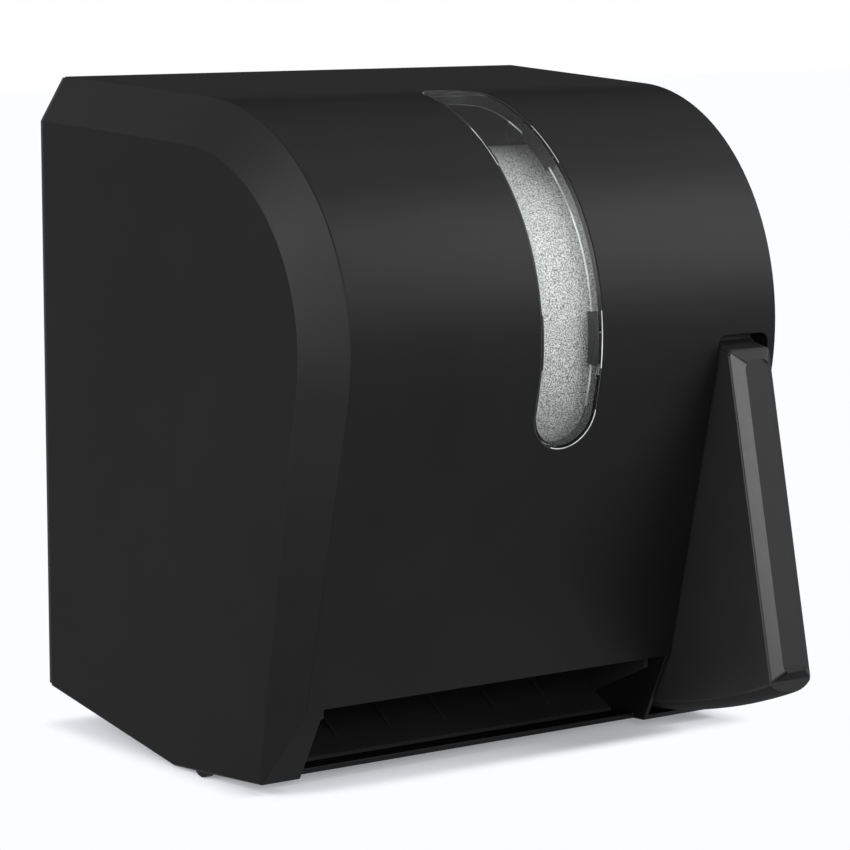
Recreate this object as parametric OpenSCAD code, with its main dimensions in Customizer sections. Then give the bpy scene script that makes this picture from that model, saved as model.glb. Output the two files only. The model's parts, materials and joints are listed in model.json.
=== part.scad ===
// Paddle roll towel dispenser: a wall chassis with a towel roll, a paddle-driven feed and a hinged cover.
// X runs to the right, Y to the wall and Z up. The wall plane is y = 0 and the front is at minus Y.
// Heights inside the modules are counted from the rear lower corner of the body; place() then sets the
// origin to the middle of the wall screw pattern.

/* [Cover] */
// Width of the body at the wall
body_w = 330; // [324:1:340]
// Height of the rear edge
rear_h = 334; // [330:1:344]
// Thickness of the cover's wall
cover_wall = 3; // [2.4:0.1:3.4]
// Draft of the sides towards the front, degrees
side_draft = 3.06; // [2.6:0.02:3.3]
// Fall of the top towards the front, degrees
top_fall = 2.58; // [2:0.02:3]
// Lean of the front wall from the vertical, degrees
front_lean = 12.67; // [12.2:0.01:13.2]
// Distance of the front plane from the wall at the height of the rear lower corner
front_reach = 213.5; // [212:0.5:217]
// Radius of the brow between top and front
brow_r = 124; // [120:1:127]
// Depth of the side chamfer along the top and brow, measured in the profile
chamfer_depth = 23.5; // [20:0.5:26]
// Depth of the side chamfer at the foot of the front
chamfer_depth_low = 14.6; // [12:0.2:17]
// Width of the side chamfer, measured across the body
chamfer_w = 14.3; // [12:0.1:16]
// Edge break along the lower edges
edge_break = 1; // [0.8:0.1:1.5]
// Height of the knee where the front turns back
knee_z = 22; // [19:0.5:25]
// Depth of the toe, the front lower corner
toe_depth = 199; // [196:0.5:202]
// Drop of the toe below the rear lower corner
toe_drop = 17.6; // [16:0.2:19]
// Depth of the heel, the lowest corner of the sides
heel_depth = 121; // [115:1:126]
// Drop of the heel below the rear lower corner
heel_drop = 22.5; // [21:0.1:24]
// Facets round the brow
brow_steps = 36; // [24:1:48]
// Facets down the front chamfer
front_steps = 8; // [6:1:12]

/* [Window] */
// Width of the window
window_w = 40; // [36:1:44]
// Height of the window's lowest point
window_low_z = 147; // [142:1:152]
// Angle of the window's upper end from the top's tangent, degrees
window_top_angle = 0.5; // [0.5:0.5:6]
// Gap between lens and cover, each side
lens_gap = 0.15; // [0.1:0.05:0.25]
// Thickness of the lens
lens_t = 1.6; // [1.4:0.1:2]
// Depth of the lens's skirt
lens_skirt = 8; // [6.5:0.5:10]
// Length of a snap tab
tab_len = 23; // [16:1:26]

/* [Outlet] */
// Left end of the outlet at its top, from the middle
outlet_left = 128; // [124:1:130]
// Sideways slant of the outlet's left end
outlet_slant = 3.5; // [2:0.5:4]
// Depth of the floor's front edge inside the outlet
outlet_floor_depth = 190; // [188:0.5:191]

/* [Paddle] */
// Distance of the paddle's middle from the right side at the wall
paddle_inset = 51.6; // [51:0.1:52.4]
// Width of the paddle at its rear
paddle_w = 29.6; // [29.2:0.1:30]
// Side draft of the paddle, degrees
paddle_draft = 0.4; // [0.3:0.1:0.6]
// Lean of the paddle's front from the vertical, degrees
paddle_lean = 12.2; // [12:0.1:12.4]
// Depth of the bevel round the paddle's front
paddle_bevel = 4.6; // [4.2:0.1:4.8]
// Width of that bevel, measured across the paddle
paddle_bevel_w = 6.1; // [5.6:0.1:6.4]
// Distance of the paddle's front pad from the pivot
paddle_reach = 24.4; // [24:0.1:24.8]
// Wall of the paddle
paddle_wall = 3; // [2.6:0.1:3.2]
// Radius of the paddle's curved underside
paddle_belly_r = 391.5; // [390.5:0.5:391.5]
// Rise of the paddle's rounded underside towards its sides
belly_rise = 8.5; // [7.5:0.5:9]
// Distance of the paddle's pivot in front of the front plane's foot
pivot_depth = 29.5; // [29:0.5:30]
// Height of the paddle's pivot
pivot_z = 187; // [186.5:0.5:188]
// Radius of the paddle's pin
paddle_pin_r = 3; // [2.6:0.1:3.2]
// Height of the slot's top in the cover
slot_top_z = 200; // [199:0.5:201.5]
// Radius of the slot's upper corners
slot_corner_r = 5.5; // [4:0.5:7]
// Width of the slot between the paddle's left side and the slot's right edge
slot_right_gap = 33.4; // [32.6:0.1:34]
// Gap between the paddle's left side and the slot's edge at its foot
slot_left_gap = 0.5; // [0.4:0.1:0.8]
// Thickness of the walls beside the paddle
recess_wall = 2.5; // [2:0.1:2.6]
// Depth of the walls beside the paddle
recess_depth = 22; // [18:1:24]

/* [Chassis] */
// Thickness of the back plate
plate_t = 2.6; // [2.4:0.1:3]
// Gap between back plate and cover
plate_gap = 0.3; // [0.2:0.05:0.4]
// Inset of the back plate's edge from the cover's edge
plate_inset = 0.8; // [0.4:0.1:1.4]
// Thickness of the side frames
frame_t = 3; // [2.6:0.1:3.2]
// Gap between the right frame and the wall beside the paddle
frame_gap = 2.9; // [2.4:0.1:3.2]
// Distance between wall screws, across
screw_pitch_x = 203.2; // [198:0.2:206]
// Distance between wall screws, upright
screw_pitch_z = 203.2; // [196:0.2:210]
// Radius of the wall screw holes
wall_hole_r = 2.75; // [2.5:0.05:3.2]
// Radius of the cover's hinge pins
hinge_pin_r = 2.5; // [2.2:0.1:2.8]
// Depth of the cover's hinge
hinge_depth = 145; // [143:0.5:147]
// Drop of the cover's hinge below the rear lower corner
hinge_drop = 16; // [15.5:0.1:16.4]
// Radius of the cover's hinge knuckle
knuckle_r = 8; // [7.7:0.1:8.2]
// Radius of the small assembly screws
screw_r = 1.9; // [1.7:0.1:2.1]

/* [Towel roll] */
// Radius of the towel roll
roll_r = 92; // [84:1:94]
// Width of the towel roll
roll_w = 200; // [190:1:202]
// Bore radius of the roll's core
core_r = 19.5; // [18:0.5:21]
// Wall of the roll's core
core_wall = 2.1; // [1.5:0.1:2.6]
// Play between core and hub
hub_play = 0.4; // [0.3:0.05:0.5]

/* [Feed] */
// Radius of the feed roller over its grip rings
feed_r = 15; // [14:0.5:15.5]
// Radius of the feed shaft
shaft_r = 4; // [3.6:0.1:4.4]
// Radius of the pinch roller
pinch_r = 8; // [7:0.5:8.5]
// Gap between feed and pinch rollers
nip_gap = 0.4; // [0.3:0.1:0.6]
// Travel of the pinch roller
pinch_travel = 3; // [2:0.5:3]
// Tooth module of the drive
gear_module = 1.5; // [1.48:0.01:1.52]
// Teeth of the clutch pinion
pinion_teeth = 12; // [12:1:12]
// Teeth of the sector, counted on the full circle
sector_teeth = 235; // [234:1:236]
// Angle of the feed shaft below the pivot's level, degrees
gear_angle = 44; // [43:0.5:45]
// Radial clearance of running fits
run_gap = 0.05; // [0.03:0.01:0.08]

/* [Lock] */
// Depth of the lock
lock_depth = 30; // [28:1:34]
// Height of the lock from the rear edge, minus is below it
lock_z = -38; // [-40:1:-36]
// Radius of the lock's housing
lock_r = 8; // [7.5:0.25:8.5]

/* [Hidden] */
$fn = 64;

// Colours as the photograph shows them
black = [0.13, 0.13, 0.13];
dark = [0.09, 0.09, 0.1];
steel = [0.66, 0.67, 0.68];
paper = [0.93, 0.93, 0.91];
clear = [0.85, 0.9, 0.92, 0.35];

// Plane geometry in the profile, as [y, z] pairs
function unit(v) = v / norm(v);
function left_of(v) = [-v[1], v[0]];
function meet(p, u, q, v) = p + u * cross(q - p, v) / cross(u, v);
function mix(a, b, s) = a + (b - a) * s;
function polar(angle) = [cos(angle), sin(angle)];

// A polygon's corners moved inwards by t; the corners run anticlockwise
function inset(pts, t) = [for (i = [0:len(pts) - 1])
    let (a = pts[(i + len(pts) - 1) % len(pts)], b = pts[i], c = pts[(i + 1) % len(pts)])
    let (u = unit(b - a), v = unit(c - b))
    meet(b + t * left_of(u), u, b + t * left_of(v), v)];

// Body profile: rear top, brow corner, knee, toe, heel, rear bottom
overshoot = 20;
half_w = body_w / 2;
top_dir = polar(180 + top_fall);
front_dir = polar(90 + front_lean);
top_normal = polar(90 + top_fall);
front_normal = polar(180 + front_lean);
rear_top = [0, rear_h];
front_foot = [-front_reach, 0];
knee = front_foot + front_dir * knee_z / front_dir[1];
toe = [-toe_depth, -toe_drop];
heel = [-heel_depth, -heel_drop];
profile = [rear_top - top_dir * overshoot, meet(rear_top, top_dir, front_foot, front_dir), knee, toe, heel,
    -heel / heel_depth * overshoot];
brow = meet(rear_top - brow_r * top_normal, top_dir, front_foot - brow_r * front_normal, front_dir);

// Half width of the body at depth y
function half_at(y) = half_w + tan(side_draft) * y;

// Chamfer sizes on a form that lies t inside the body
min_chamfer = 0.3;
function chamfer_loss(d, w, t) = t * (d + w - norm([d, w]));
function chamfer_d(d, w, t) = max(d - chamfer_loss(d, w, t) / w, min_chamfer);
function chamfer_x(d, w, t) = max(w - chamfer_loss(d, w, t) / d, min_chamfer);

// Stations round the profile: point, inward direction, chamfer depth and chamfer width
function station(p, m, d, w, t) = [p, m, chamfer_d(d, w, t), chamfer_x(d, w, t)];
function stations(t) = let (c = inset(profile, t), brow_end = brow + (brow_r - t) * front_normal) concat(
    [station(c[0], -top_normal, chamfer_depth, chamfer_w, t)],
    [for (i = [0:brow_steps])
        let (d = polar(mix(90 + top_fall, 180 + front_lean, i / brow_steps)))
        station(brow + (brow_r - t) * d, -d, chamfer_depth, chamfer_w, t)],
    [for (i = [1:front_steps])
        let (s = i / front_steps)
        let (depth = mix(chamfer_depth, chamfer_depth_low, s))
        station(mix(brow_end, c[2], s), -front_normal, depth, chamfer_w, t)],
    [station(c[3], unit([1, 1]), edge_break, edge_break, t),
     station(c[4], [0, 1], edge_break, edge_break, t),
     station(c[5], [0, 1], edge_break, edge_break, t)]);

// Sets the origin to the middle of the wall screw pattern
module place() {
    translate([0, 0, -rear_h / 2]) children();
}

// A [y, z] outline carried along X from x0 to x1
module along_x(x0, x1) {
    translate([x0, 0, 0]) rotate([90, 0, 90]) linear_extrude(x1 - x0) children();
}

// An [x, z] outline carried along Y from y0 to y1
module along_y(y0, y1) {
    translate([0, y1, 0]) rotate([90, 0, 0]) linear_extrude(y1 - y0) children();
}

// A round bar along X through the profile point p
module rod(p, x0, x1, r) {
    translate([x0, p[0], p[1]]) rotate([0, 90, 0]) cylinder(r = r, h = x1 - x0);
}

// Places children at the profile point p with their Z along the profile direction d
module facing(p, d) {
    translate([0, p[0], p[1]]) rotate([atan2(-d[0], d[1]), 0, 0]) children();
}

// A box between two corners
module block(low, high) {
    translate(low) cube(high - low);
}

// A pan-head screw along +Z, its head's underside at z = 0 and its shank below
head_ratio = 1.9;
head_h = 2.4;
module screw(length) {
    cylinder(r = head_ratio * screw_r, h = head_h);
    translate([0, 0, -length]) cylinder(r = screw_r, h = length + head_h / 2);
}

// The body's form, t inside its outer faces, with drafted sides and chamfers
module body_form(t) {
    st = stations(t);
    n = len(st);
    side = t / cos(side_draft);
    outer = [for (s = st) let (q = s[0] + s[2] * s[1]) [half_at(q[0]) - side, q[0], q[1]]];
    inner = [for (s = st) [half_at(s[0][0]) - side - s[3], s[0][0], s[0][1]]];
    mirrored = [-1, 1, 1];
    loops = concat([for (p = outer) [for (k = [0:2]) p[k] * mirrored[k]]],
        [for (p = inner) [for (k = [0:2]) p[k] * mirrored[k]]], inner, outer);
    skin = [for (k = [0:2]) for (i = [0:n - 1])
        let (j = (i + 1) % n, a = k * n, b = a + n)
        each [[a + i, b + i, b + j], [a + i, b + j, a + j]]];
    caps = [[for (i = [0:n - 1]) i], [for (i = [n - 1:-1:0]) 3 * n + i]];
    polyhedron(loops, concat(skin, caps));
}

// The body's profile, t inside its outer faces, carried from x0 to x1 without chamfers
module profile_bar(t, x0, x1) {
    along_x(x0, x1) polygon([for (s = stations(t)) s[0]]);
}

// Rear cut: everything behind the back plate's front face
cover_rear_y = -(plate_t + plate_gap);
module behind(y) {
    block([-body_w, y, -rear_h], [body_w, y + 3 * overshoot, 2 * rear_h]);
}

// Layout across the body
paddle_x = half_w - paddle_inset;
paddle_left = paddle_x - paddle_w / 2;
paddle_right = paddle_x + paddle_w / 2;
slot_left = paddle_left - slot_left_gap;
slot_right = paddle_left + slot_right_gap;
right_frame_x = slot_left - recess_wall - frame_gap - frame_t;
roll_side_gap = 4.5;
roll_right = right_frame_x - roll_side_gap;
roll_left = roll_right - roll_w;
left_frame_x = roll_left - roll_side_gap - 1 - frame_t;
left_inner = left_frame_x + frame_t;
right_outer = right_frame_x + frame_t;

// Points of the profile that pieces turn about
pivot = [-front_reach - pivot_depth, pivot_z];
hinge = [-hinge_depth, -hinge_drop];
roll_axis = brow;
sector_r = gear_module * sector_teeth / 2;
pinion_r = gear_module * pinion_teeth / 2;
feed_axis = pivot + (sector_r + pinion_r) * polar(-gear_angle);
pinch_axis = feed_axis + [feed_r + pinch_r + nip_gap, 0];

// Floor of the chassis: the body's lower lines, t inside
function floor_z(y, t) = let (c = inset(profile, t))
    y > c[4][0] ? mix(c[4][1], c[5][1], (y - c[4][0]) / (c[5][0] - c[4][0]))
        : mix(c[4][1], c[3][1], (y - c[4][0]) / (c[3][0] - c[4][0]));
pan_inset = 1;
pan_t = 2.6;
lug_inset = pan_inset + 0.3;
pan_top = pan_inset + pan_t;
pan_end_y = -hinge_depth + 5;
pan_side_gap = 15;
pan_half = half_w - pan_side_gap;

// Window: a stadium along the profile, its flat ends square to the surface
window_half = window_w / 2;
window_low = front_foot + front_dir * (window_low_z + window_half * front_dir[1]) / front_dir[1];
window_high_angle = 90 + top_fall + window_top_angle + window_half / brow_r * 180 / PI;
window_high_dir = polar(window_high_angle);
window_high = brow + brow_r * window_high_dir;
window_reach = 36;
module window_tool(half) {
    middle = polar((window_high_angle + 180 + front_lean) / 2);
    along_x(-half, half) polygon([window_low - window_reach * front_normal,
        window_low + window_reach * front_normal, brow + 2 * brow_r * middle,
        window_high + window_reach * window_high_dir, window_high - window_reach * window_high_dir]);
    facing(window_low, front_normal) cylinder(r = half, h = 2 * window_reach, center = true);
    facing(window_high, window_high_dir) cylinder(r = half, h = 2 * window_reach, center = true);
}

// Paddle slot in the cover: slanted left edge, round upper corners, open down to the floor
slot_floor_z = -toe_drop + cover_wall;
slot_top_gap = 0.9;
slot_left_top = paddle_left - slot_top_gap;
module slot_cut() {
    r = slot_corner_r;
    y0 = -1.4 * front_reach;
    y1 = -toe_depth + 3 * cover_wall;
    along_y(y0, y1) polygon([[slot_left, slot_floor_z], [slot_right, slot_floor_z],
        [slot_right, slot_top_z - r], [slot_right - r, slot_top_z],
        [slot_left_top + r, slot_top_z], [slot_left_top, slot_top_z - r]]);
    for (x = [slot_left_top + r, slot_right - r])
        translate([x, y1, slot_top_z - r]) rotate([90, 0, 0]) cylinder(r = r, h = y1 - y0);
}

// Towel outlet: through the foot of the front and the front of the floor
module outlet_cut() {
    right = slot_left - recess_wall / 2;
    low = -2 * heel_drop;
    along_y(-1.4 * front_reach, -outlet_floor_depth) polygon([[-outlet_left - outlet_slant, low],
        [right, low], [right, knee_z], [-outlet_left, knee_z]]);
}

// Walls beside the paddle slot, from the outer face inwards
module recess_walls() {
    low = -2 * heel_drop;
    high = slot_top_z + 2 * cover_wall;
    rear = -hinge_depth - knuckle_r - 4;
    slant = (slot_left_top - slot_left) / (slot_top_z - slot_floor_z);
    left_low = slot_left + slant * (low - slot_floor_z);
    left_high = slot_left + slant * (high - slot_floor_z);
    difference() {
        intersection() {
            profile_bar(0.02, slot_left - 4 * recess_wall, slot_right + 4 * recess_wall);
            union() {
                along_y(-2 * front_reach, rear) polygon([[left_low - recess_wall, low], [left_low, low],
                    [left_high, high], [left_high - recess_wall, high]]);
                block([slot_right, -2 * front_reach, low], [slot_right + recess_wall, rear, high]);
            }
        }
        profile_bar(recess_depth, slot_left - 5 * recess_wall, slot_right + 5 * recess_wall);
    }
}

// The cover's floor ends in front of the hinge; behind it the sides stand alone
floor_rear_y = -hinge_depth - 11;
module floor_cut() {
    edge = cover_wall / cos(side_draft);
    translate([0, 0, -rear_h]) linear_extrude(rear_h + floor_z(0, cover_wall) + 1) polygon([
        [edge - half_at(overshoot), overshoot], [half_at(overshoot) - edge, overshoot],
        [half_at(floor_rear_y) - edge, floor_rear_y], [edge - half_at(floor_rear_y), floor_rear_y]]);
}

// Hinge: knuckle on the cover, lug on the pan, blind pin between them
hinge_skin = 1.5;
pin_space = 0.5;
press_gap = 0.02;
knuckle_out = half_at(-hinge_depth) - 1.2;
knuckle_in = pan_half + 1.2;
lug_w = 9;
lug_r = knuckle_r - 1.4;
lug_low = 4.4;
module each_side() {
    children();
    mirror([1, 0, 0]) children();
}

// Lock: its axis square to the right side
lock_level = rear_h + lock_z;
module lock_frame() {
    translate([half_w, 0, 0]) rotate([0, 0, -side_draft]) translate([0, -lock_depth, lock_level])
        rotate([0, 90, 0]) children();
}
lock_len = 16;
bezel_t = 2.4;
nut_t = 4;
cam_t = 2.5;
cam_reach = 24;
plug_r = lock_r - 2.5;

module front_cover() color(black) place() {
    difference() {
        union() {
            difference() {
                body_form(0);
                body_form(cover_wall);
                slot_cut();
                outlet_cut();
                floor_cut();
            }
            recess_walls();
            each_side() rod(hinge, knuckle_in, knuckle_out, knuckle_r);
        }
        behind(cover_rear_y);
        window_tool(window_half);
        each_side() rod(hinge, knuckle_in - 1, half_at(-hinge_depth) - hinge_skin - pin_space,
            hinge_pin_r + run_gap);
        lock_frame() translate([0, 0, -lock_len]) cylinder(r = lock_r + 0.15, h = 2 * lock_len);
    }
}

module window_lens() color(clear) place() {
    half = window_half - lens_gap;
    set_back = 0.4;
    grip = 1.8;
    wide = window_w;
    tab_step = tab_len / brow_r * 90 / PI;
    difference() {
        intersection() {
            window_tool(half);
            profile_bar(set_back, -wide, wide);
        }
        profile_bar(set_back + lens_skirt, -1.1 * wide, 1.1 * wide);
        intersection() {
            window_tool(half - lens_t);
            profile_bar(set_back + lens_t, -wide, wide);
        }
    }
    for (angle = [window_high_angle + 24, 180 + front_lean - 9])
        intersection() {
            difference() {
                profile_bar(cover_wall + 0.2, -half - grip, half + grip);
                profile_bar(cover_wall + 0.2 + grip, -wide, wide);
                block([-half + 0.2, -2 * front_reach, 0], [half - 0.2, 0, 2 * rear_h]);
            }
            along_x(-wide, wide) polygon([brow, brow + 2 * brow_r * polar(angle - tab_step),
                brow + 2 * brow_r * polar(angle + tab_step)]);
        }
}

module hinge_pins() color(steel) place() each_side()
    rod(hinge, pan_half - lug_w, half_at(-hinge_depth) - hinge_skin - 2 * pin_space, hinge_pin_r);

// Roll arm: pivot on the back plate, left of the roll
arm_t = 4;
arm_x = roll_left - 3.5 - arm_t;
arm_mid = arm_x + arm_t / 2;
arm_pivot_y = -12;
arm_barrel_r = 6;
arm_half_h = 13;
arm_lug_t = 6;
arm_lug_gap = 0.5;
arm_pin_r = 2.5;
lug_z = arm_half_h + 5.5;

module back_plate() color(black) place() {
    difference() {
        union() {
            difference() {
                body_form(plate_inset);
                behind(0);
                block([-body_w, -2 * front_reach, -rear_h], [body_w, -plate_t, 2 * rear_h]);
            }
            for (z = [lug_z, -lug_z - arm_lug_t])
                block([arm_mid - arm_barrel_r, arm_pivot_y - arm_barrel_r, roll_axis[1] + z],
                    [arm_mid + arm_barrel_r, -plate_t / 2, roll_axis[1] + z + arm_lug_t]);
        }
        for (x = [-1, 1], z = [-1, 1])
            translate([x * screw_pitch_x / 2, 0, rear_h / 2 + z * screw_pitch_z / 2]) rotate([90, 0, 0])
                cylinder(r = wall_hole_r, h = 4 * plate_t, center = true);
        translate([arm_mid, arm_pivot_y, roll_axis[1]])
            cylinder(r = arm_pin_r + press_gap, h = 6 * lug_z, center = true);
        plate_screw_spots() cylinder(r = screw_r + run_gap, h = 4 * plate_t, center = true);
    }
}

// Screws that hold the frames and the pan to the back plate, each with its head at the flange's face
flange_t = 2.6;
flange_w = 14;
frame_screw_z = [34, 98];
right_screw_rise = 22;
right_screw_high = roll_axis[1] + right_screw_rise;
pan_flange_h = 15;
module frame_screw_spots() {
    for (z = frame_screw_z) {
        translate([left_inner + flange_w / 2, -plate_t, z]) rotate([90, 0, 0]) children();
        translate([right_frame_x - flange_w / 2, -plate_t, z]) rotate([90, 0, 0]) children();
    }
    translate([right_frame_x - flange_w / 2, -plate_t, right_screw_high]) rotate([90, 0, 0]) children();
}
module pan_screw_spots() {
    for (x = [-0.85, -0.1, 0.85])
        translate([x * pan_half, -plate_t, pan_top + pan_flange_h / 2]) rotate([90, 0, 0]) children();
}
module keeper_screw_spot() {
    translate([keeper_x, -plate_t, keeper_z - keeper_screw_drop]) rotate([90, 0, 0]) children();
}
module plate_screw_spots() {
    frame_screw_spots() children();
    pan_screw_spots() children();
    keeper_screw_spot() children();
}
plate_screw_len = flange_t + plate_t - 0.3;
module frame_screws() color(steel) place()
    frame_screw_spots() translate([0, 0, flange_t]) screw(plate_screw_len);
module pan_screws() color(steel) place() {
    pan_screw_spots() translate([0, 0, flange_t]) screw(plate_screw_len);
    keeper_screw_spot() translate([0, 0, flange_t]) screw(plate_screw_len);
}

module bottom_pan() color(dark) place() {
    difference() {
        union() {
            difference() {
                profile_bar(pan_inset, -pan_half, pan_half);
                profile_bar(pan_top, -2 * pan_half, 2 * pan_half);
                block([-body_w, -2 * front_reach, -rear_h], [body_w, pan_end_y, 2 * rear_h]);
                block([-body_w, -2 * front_reach, pan_top], [body_w, overshoot, 2 * rear_h]);
                behind(-plate_t);
            }
            block([-pan_half, -plate_t - flange_t, floor_z(-plate_t, pan_inset)],
                [pan_half, -plate_t, pan_top + pan_flange_h]);
            each_side() along_x(pan_half - lug_w, pan_half) {
                translate(hinge) circle(r = lug_r);
                polygon([hinge + [0, -lug_low], hinge + [0, lug_r],
                    [pan_end_y + 20, floor_z(pan_end_y, pan_top) + 6],
                    [pan_end_y + 30, floor_z(pan_end_y + 30, lug_inset)],
                    [pan_end_y + 1, floor_z(pan_end_y + 1, lug_inset)]]);
            }
        }
        each_side() rod(hinge, pan_half - lug_w - 1, pan_half + 1, hinge_pin_r + press_gap);
        pan_screw_spots() cylinder(r = screw_r + run_gap, h = 6 * plate_t, center = true);
        for (x = [left_frame_x, right_frame_x])
            block([x - foot_gap, -plate_t - 2 * flange_t, pan_top],
                [x + frame_t + foot_gap, -plate_t + 1, 3 * pan_flange_h]);
    }
}

// Side frames: lower cheek on both sides, and on the right a tall arm up to the paddle bracket
bush_r = 9;
slot_h = 10;
block_l = 12;
spring_l = 13.8;
slot_start = pinch_axis[0] - block_l / 2 - 0.3;
slot_end = pinch_axis[0] + block_l / 2 + spring_l + 0.4;
bar_setback = 13.5;
bar_y = bar_setback - front_reach;
bar_z = 38;
bar_size = 12;
frame_nose_y = bar_y - bar_size / 2;
nose_rise = 2;
nose_low_z = 14;
nose_foot = [-166, -5];
cheek_top_z = 116;
cheek_flat_y = -60;
cheek_front = [-150, 84];
flange_low_z = 24;
flange_high_z = 110;
flange_half = 12;
foot_gap = 0.1;
foot_inset = pan_top + foot_gap;
frame_foot = [[pan_end_y + 4, floor_z(pan_end_y + 4, foot_inset)], inset(profile, foot_inset)[4],
    [-plate_t, floor_z(-plate_t, foot_inset)]];
frame_low_nose = [[frame_nose_y, bar_z + bar_size / 2 + nose_rise], [frame_nose_y, nose_low_z], nose_foot];
left_outline = concat(frame_low_nose, frame_foot, [[-plate_t, cheek_top_z], [cheek_flat_y, cheek_top_z],
    cheek_front]);
bracket_setback = 25;
bracket_rise = 12;
bracket_y = pivot[0] + bracket_setback;
bracket_z = pivot_z + bracket_rise;
bracket_edge_y = bracket_y - 11;
bracket_edge_up = 14;
bracket_edge_down = 26;
hub_arm_rise = 46;
hub_arm_half = 20;
hub_arm_rear = 18;
right_outline = concat([[bracket_edge_y, bracket_z + bracket_edge_up],
    [bracket_edge_y, bracket_z - bracket_edge_down]], frame_low_nose, frame_foot,
    [[-plate_t, right_screw_high + hub_arm_rear], roll_axis + [hub_arm_half, hub_arm_rise],
    roll_axis + [-hub_arm_half, hub_arm_rise]]);

module frame_holes(x0) {
    rod(feed_axis, x0 - frame_t, x0 + 2 * frame_t, bush_r + press_gap);
    block([x0 - frame_t, slot_start, pinch_axis[1] - slot_h / 2],
        [x0 + 2 * frame_t, slot_end, pinch_axis[1] + slot_h / 2]);
    rod([bar_y, bar_z], x0 - frame_t, x0 + 2 * frame_t, screw_r + run_gap);
}

module left_frame() color(dark) place() {
    difference() {
        union() {
            along_x(left_frame_x, left_inner) polygon(left_outline);
            block([left_frame_x, -plate_t - flange_t, flange_low_z],
                [left_inner + flange_w, -plate_t, flange_high_z]);
        }
        frame_holes(left_frame_x);
        frame_screw_spots() cylinder(r = screw_r + run_gap, h = 6 * plate_t, center = true);
    }
}

hub_screw_r = screw_r;
module right_frame() color(dark) place() {
    difference() {
        union() {
            along_x(right_frame_x, right_outer) polygon(right_outline);
            block([right_frame_x - flange_w, -plate_t - flange_t, flange_low_z],
                [right_outer, -plate_t, flange_high_z]);
            block([right_frame_x - flange_w, -plate_t - flange_t, right_screw_high - flange_half],
                [right_outer, -plate_t, right_screw_high + flange_half]);
        }
        frame_holes(right_frame_x);
        frame_screw_spots() cylinder(r = screw_r + run_gap, h = 6 * plate_t, center = true);
        rod(roll_axis, right_frame_x - frame_t, right_outer + frame_t, hub_screw_r + run_gap);
        bracket_screw_spots() cylinder(r = screw_r + run_gap, h = 6 * frame_t, center = true);
    }
}

// Bar across the front of the frames, with the serrated tear bar under it
module cross_bar() color(dark) place() {
    difference() {
        along_x(left_inner, right_frame_x) translate([bar_y, bar_z]) square(bar_size, center = true);
        rod([bar_y, bar_z], left_inner - 1, left_inner + 12, screw_r + run_gap);
        rod([bar_y, bar_z], right_frame_x - 12, right_frame_x + 1, screw_r + run_gap);
        tear_screw_spots() translate([0, 0, -9]) cylinder(r = screw_r + run_gap, h = 20);
    }
}
tear_screw_inset = 30;
module tear_screw_spots() {
    for (x = [left_inner + tear_screw_inset, (left_inner + right_frame_x) / 2,
        right_frame_x - tear_screw_inset])
        translate([x, bar_y + bar_size / 2, bar_z]) rotate([-90, 0, 0]) children();
}
tear_t = 1.2;
tear_tooth = 4;
tear_low_z = 22;
tear_deep = 2.5;
module tear_bar() color(steel) place() {
    length = right_frame_x - left_inner - 1;
    teeth = floor(length / tear_tooth);
    step = length / teeth;
    x0 = left_inner + 0.5;
    difference() {
        along_y(bar_y + bar_size / 2, bar_y + bar_size / 2 + tear_t) polygon(concat(
            [[x0 + length, bar_z + bar_size / 2], [x0, bar_z + bar_size / 2]],
            [for (i = [0:teeth - 1])
                each [[x0 + i * step, tear_low_z + tear_deep], [x0 + (i + 0.5) * step, tear_low_z]]],
            [[x0 + length, tear_low_z + tear_deep]]));
        tear_screw_spots() cylinder(r = screw_r + run_gap, h = 12, center = true);
    }
}
module bar_screws() color(steel) place() {
    tear_screw_spots() translate([0, 0, tear_t]) screw(7);
    translate([left_frame_x, bar_y, bar_z]) rotate([0, -90, 0]) screw(11);
    translate([right_outer, bar_y, bar_z]) rotate([0, 90, 0]) screw(11);
}

// Chute under the nip: a bent tray with guide ribs
chute_t = 2;
chute_rear = [pinch_axis[0] + 14, feed_axis[1] - 22];
chute_knee = [feed_axis[0] - 6, 12];
chute_setback = 12;
chute_lip_gap = 0.6;
chute_lip_y = chute_setback - outlet_floor_depth;
chute_front = [chute_lip_y, floor_z(chute_lip_y, cover_wall) + chute_lip_gap];
rib_count = 5;
module chute_tray() color(dark) place() {
    lift = [0, chute_t];
    rise = [0, 6];
    x0 = left_inner + 0.2;
    x1 = right_frame_x - 0.2;
    along_x(x0, x1) polygon([chute_rear, chute_knee, chute_front, chute_front + lift, chute_knee + lift,
        chute_rear + lift]);
    for (i = [1:rib_count])
        translate([mix(x0, x1, i / (rib_count + 1)), 0, 0]) along_x(-0.8, 0.8) polygon([
            chute_knee + lift / 2, chute_front + lift / 2, chute_front + lift + [4, 0],
            chute_knee + rise + [-14, 0], chute_knee + rise]);
}

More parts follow.
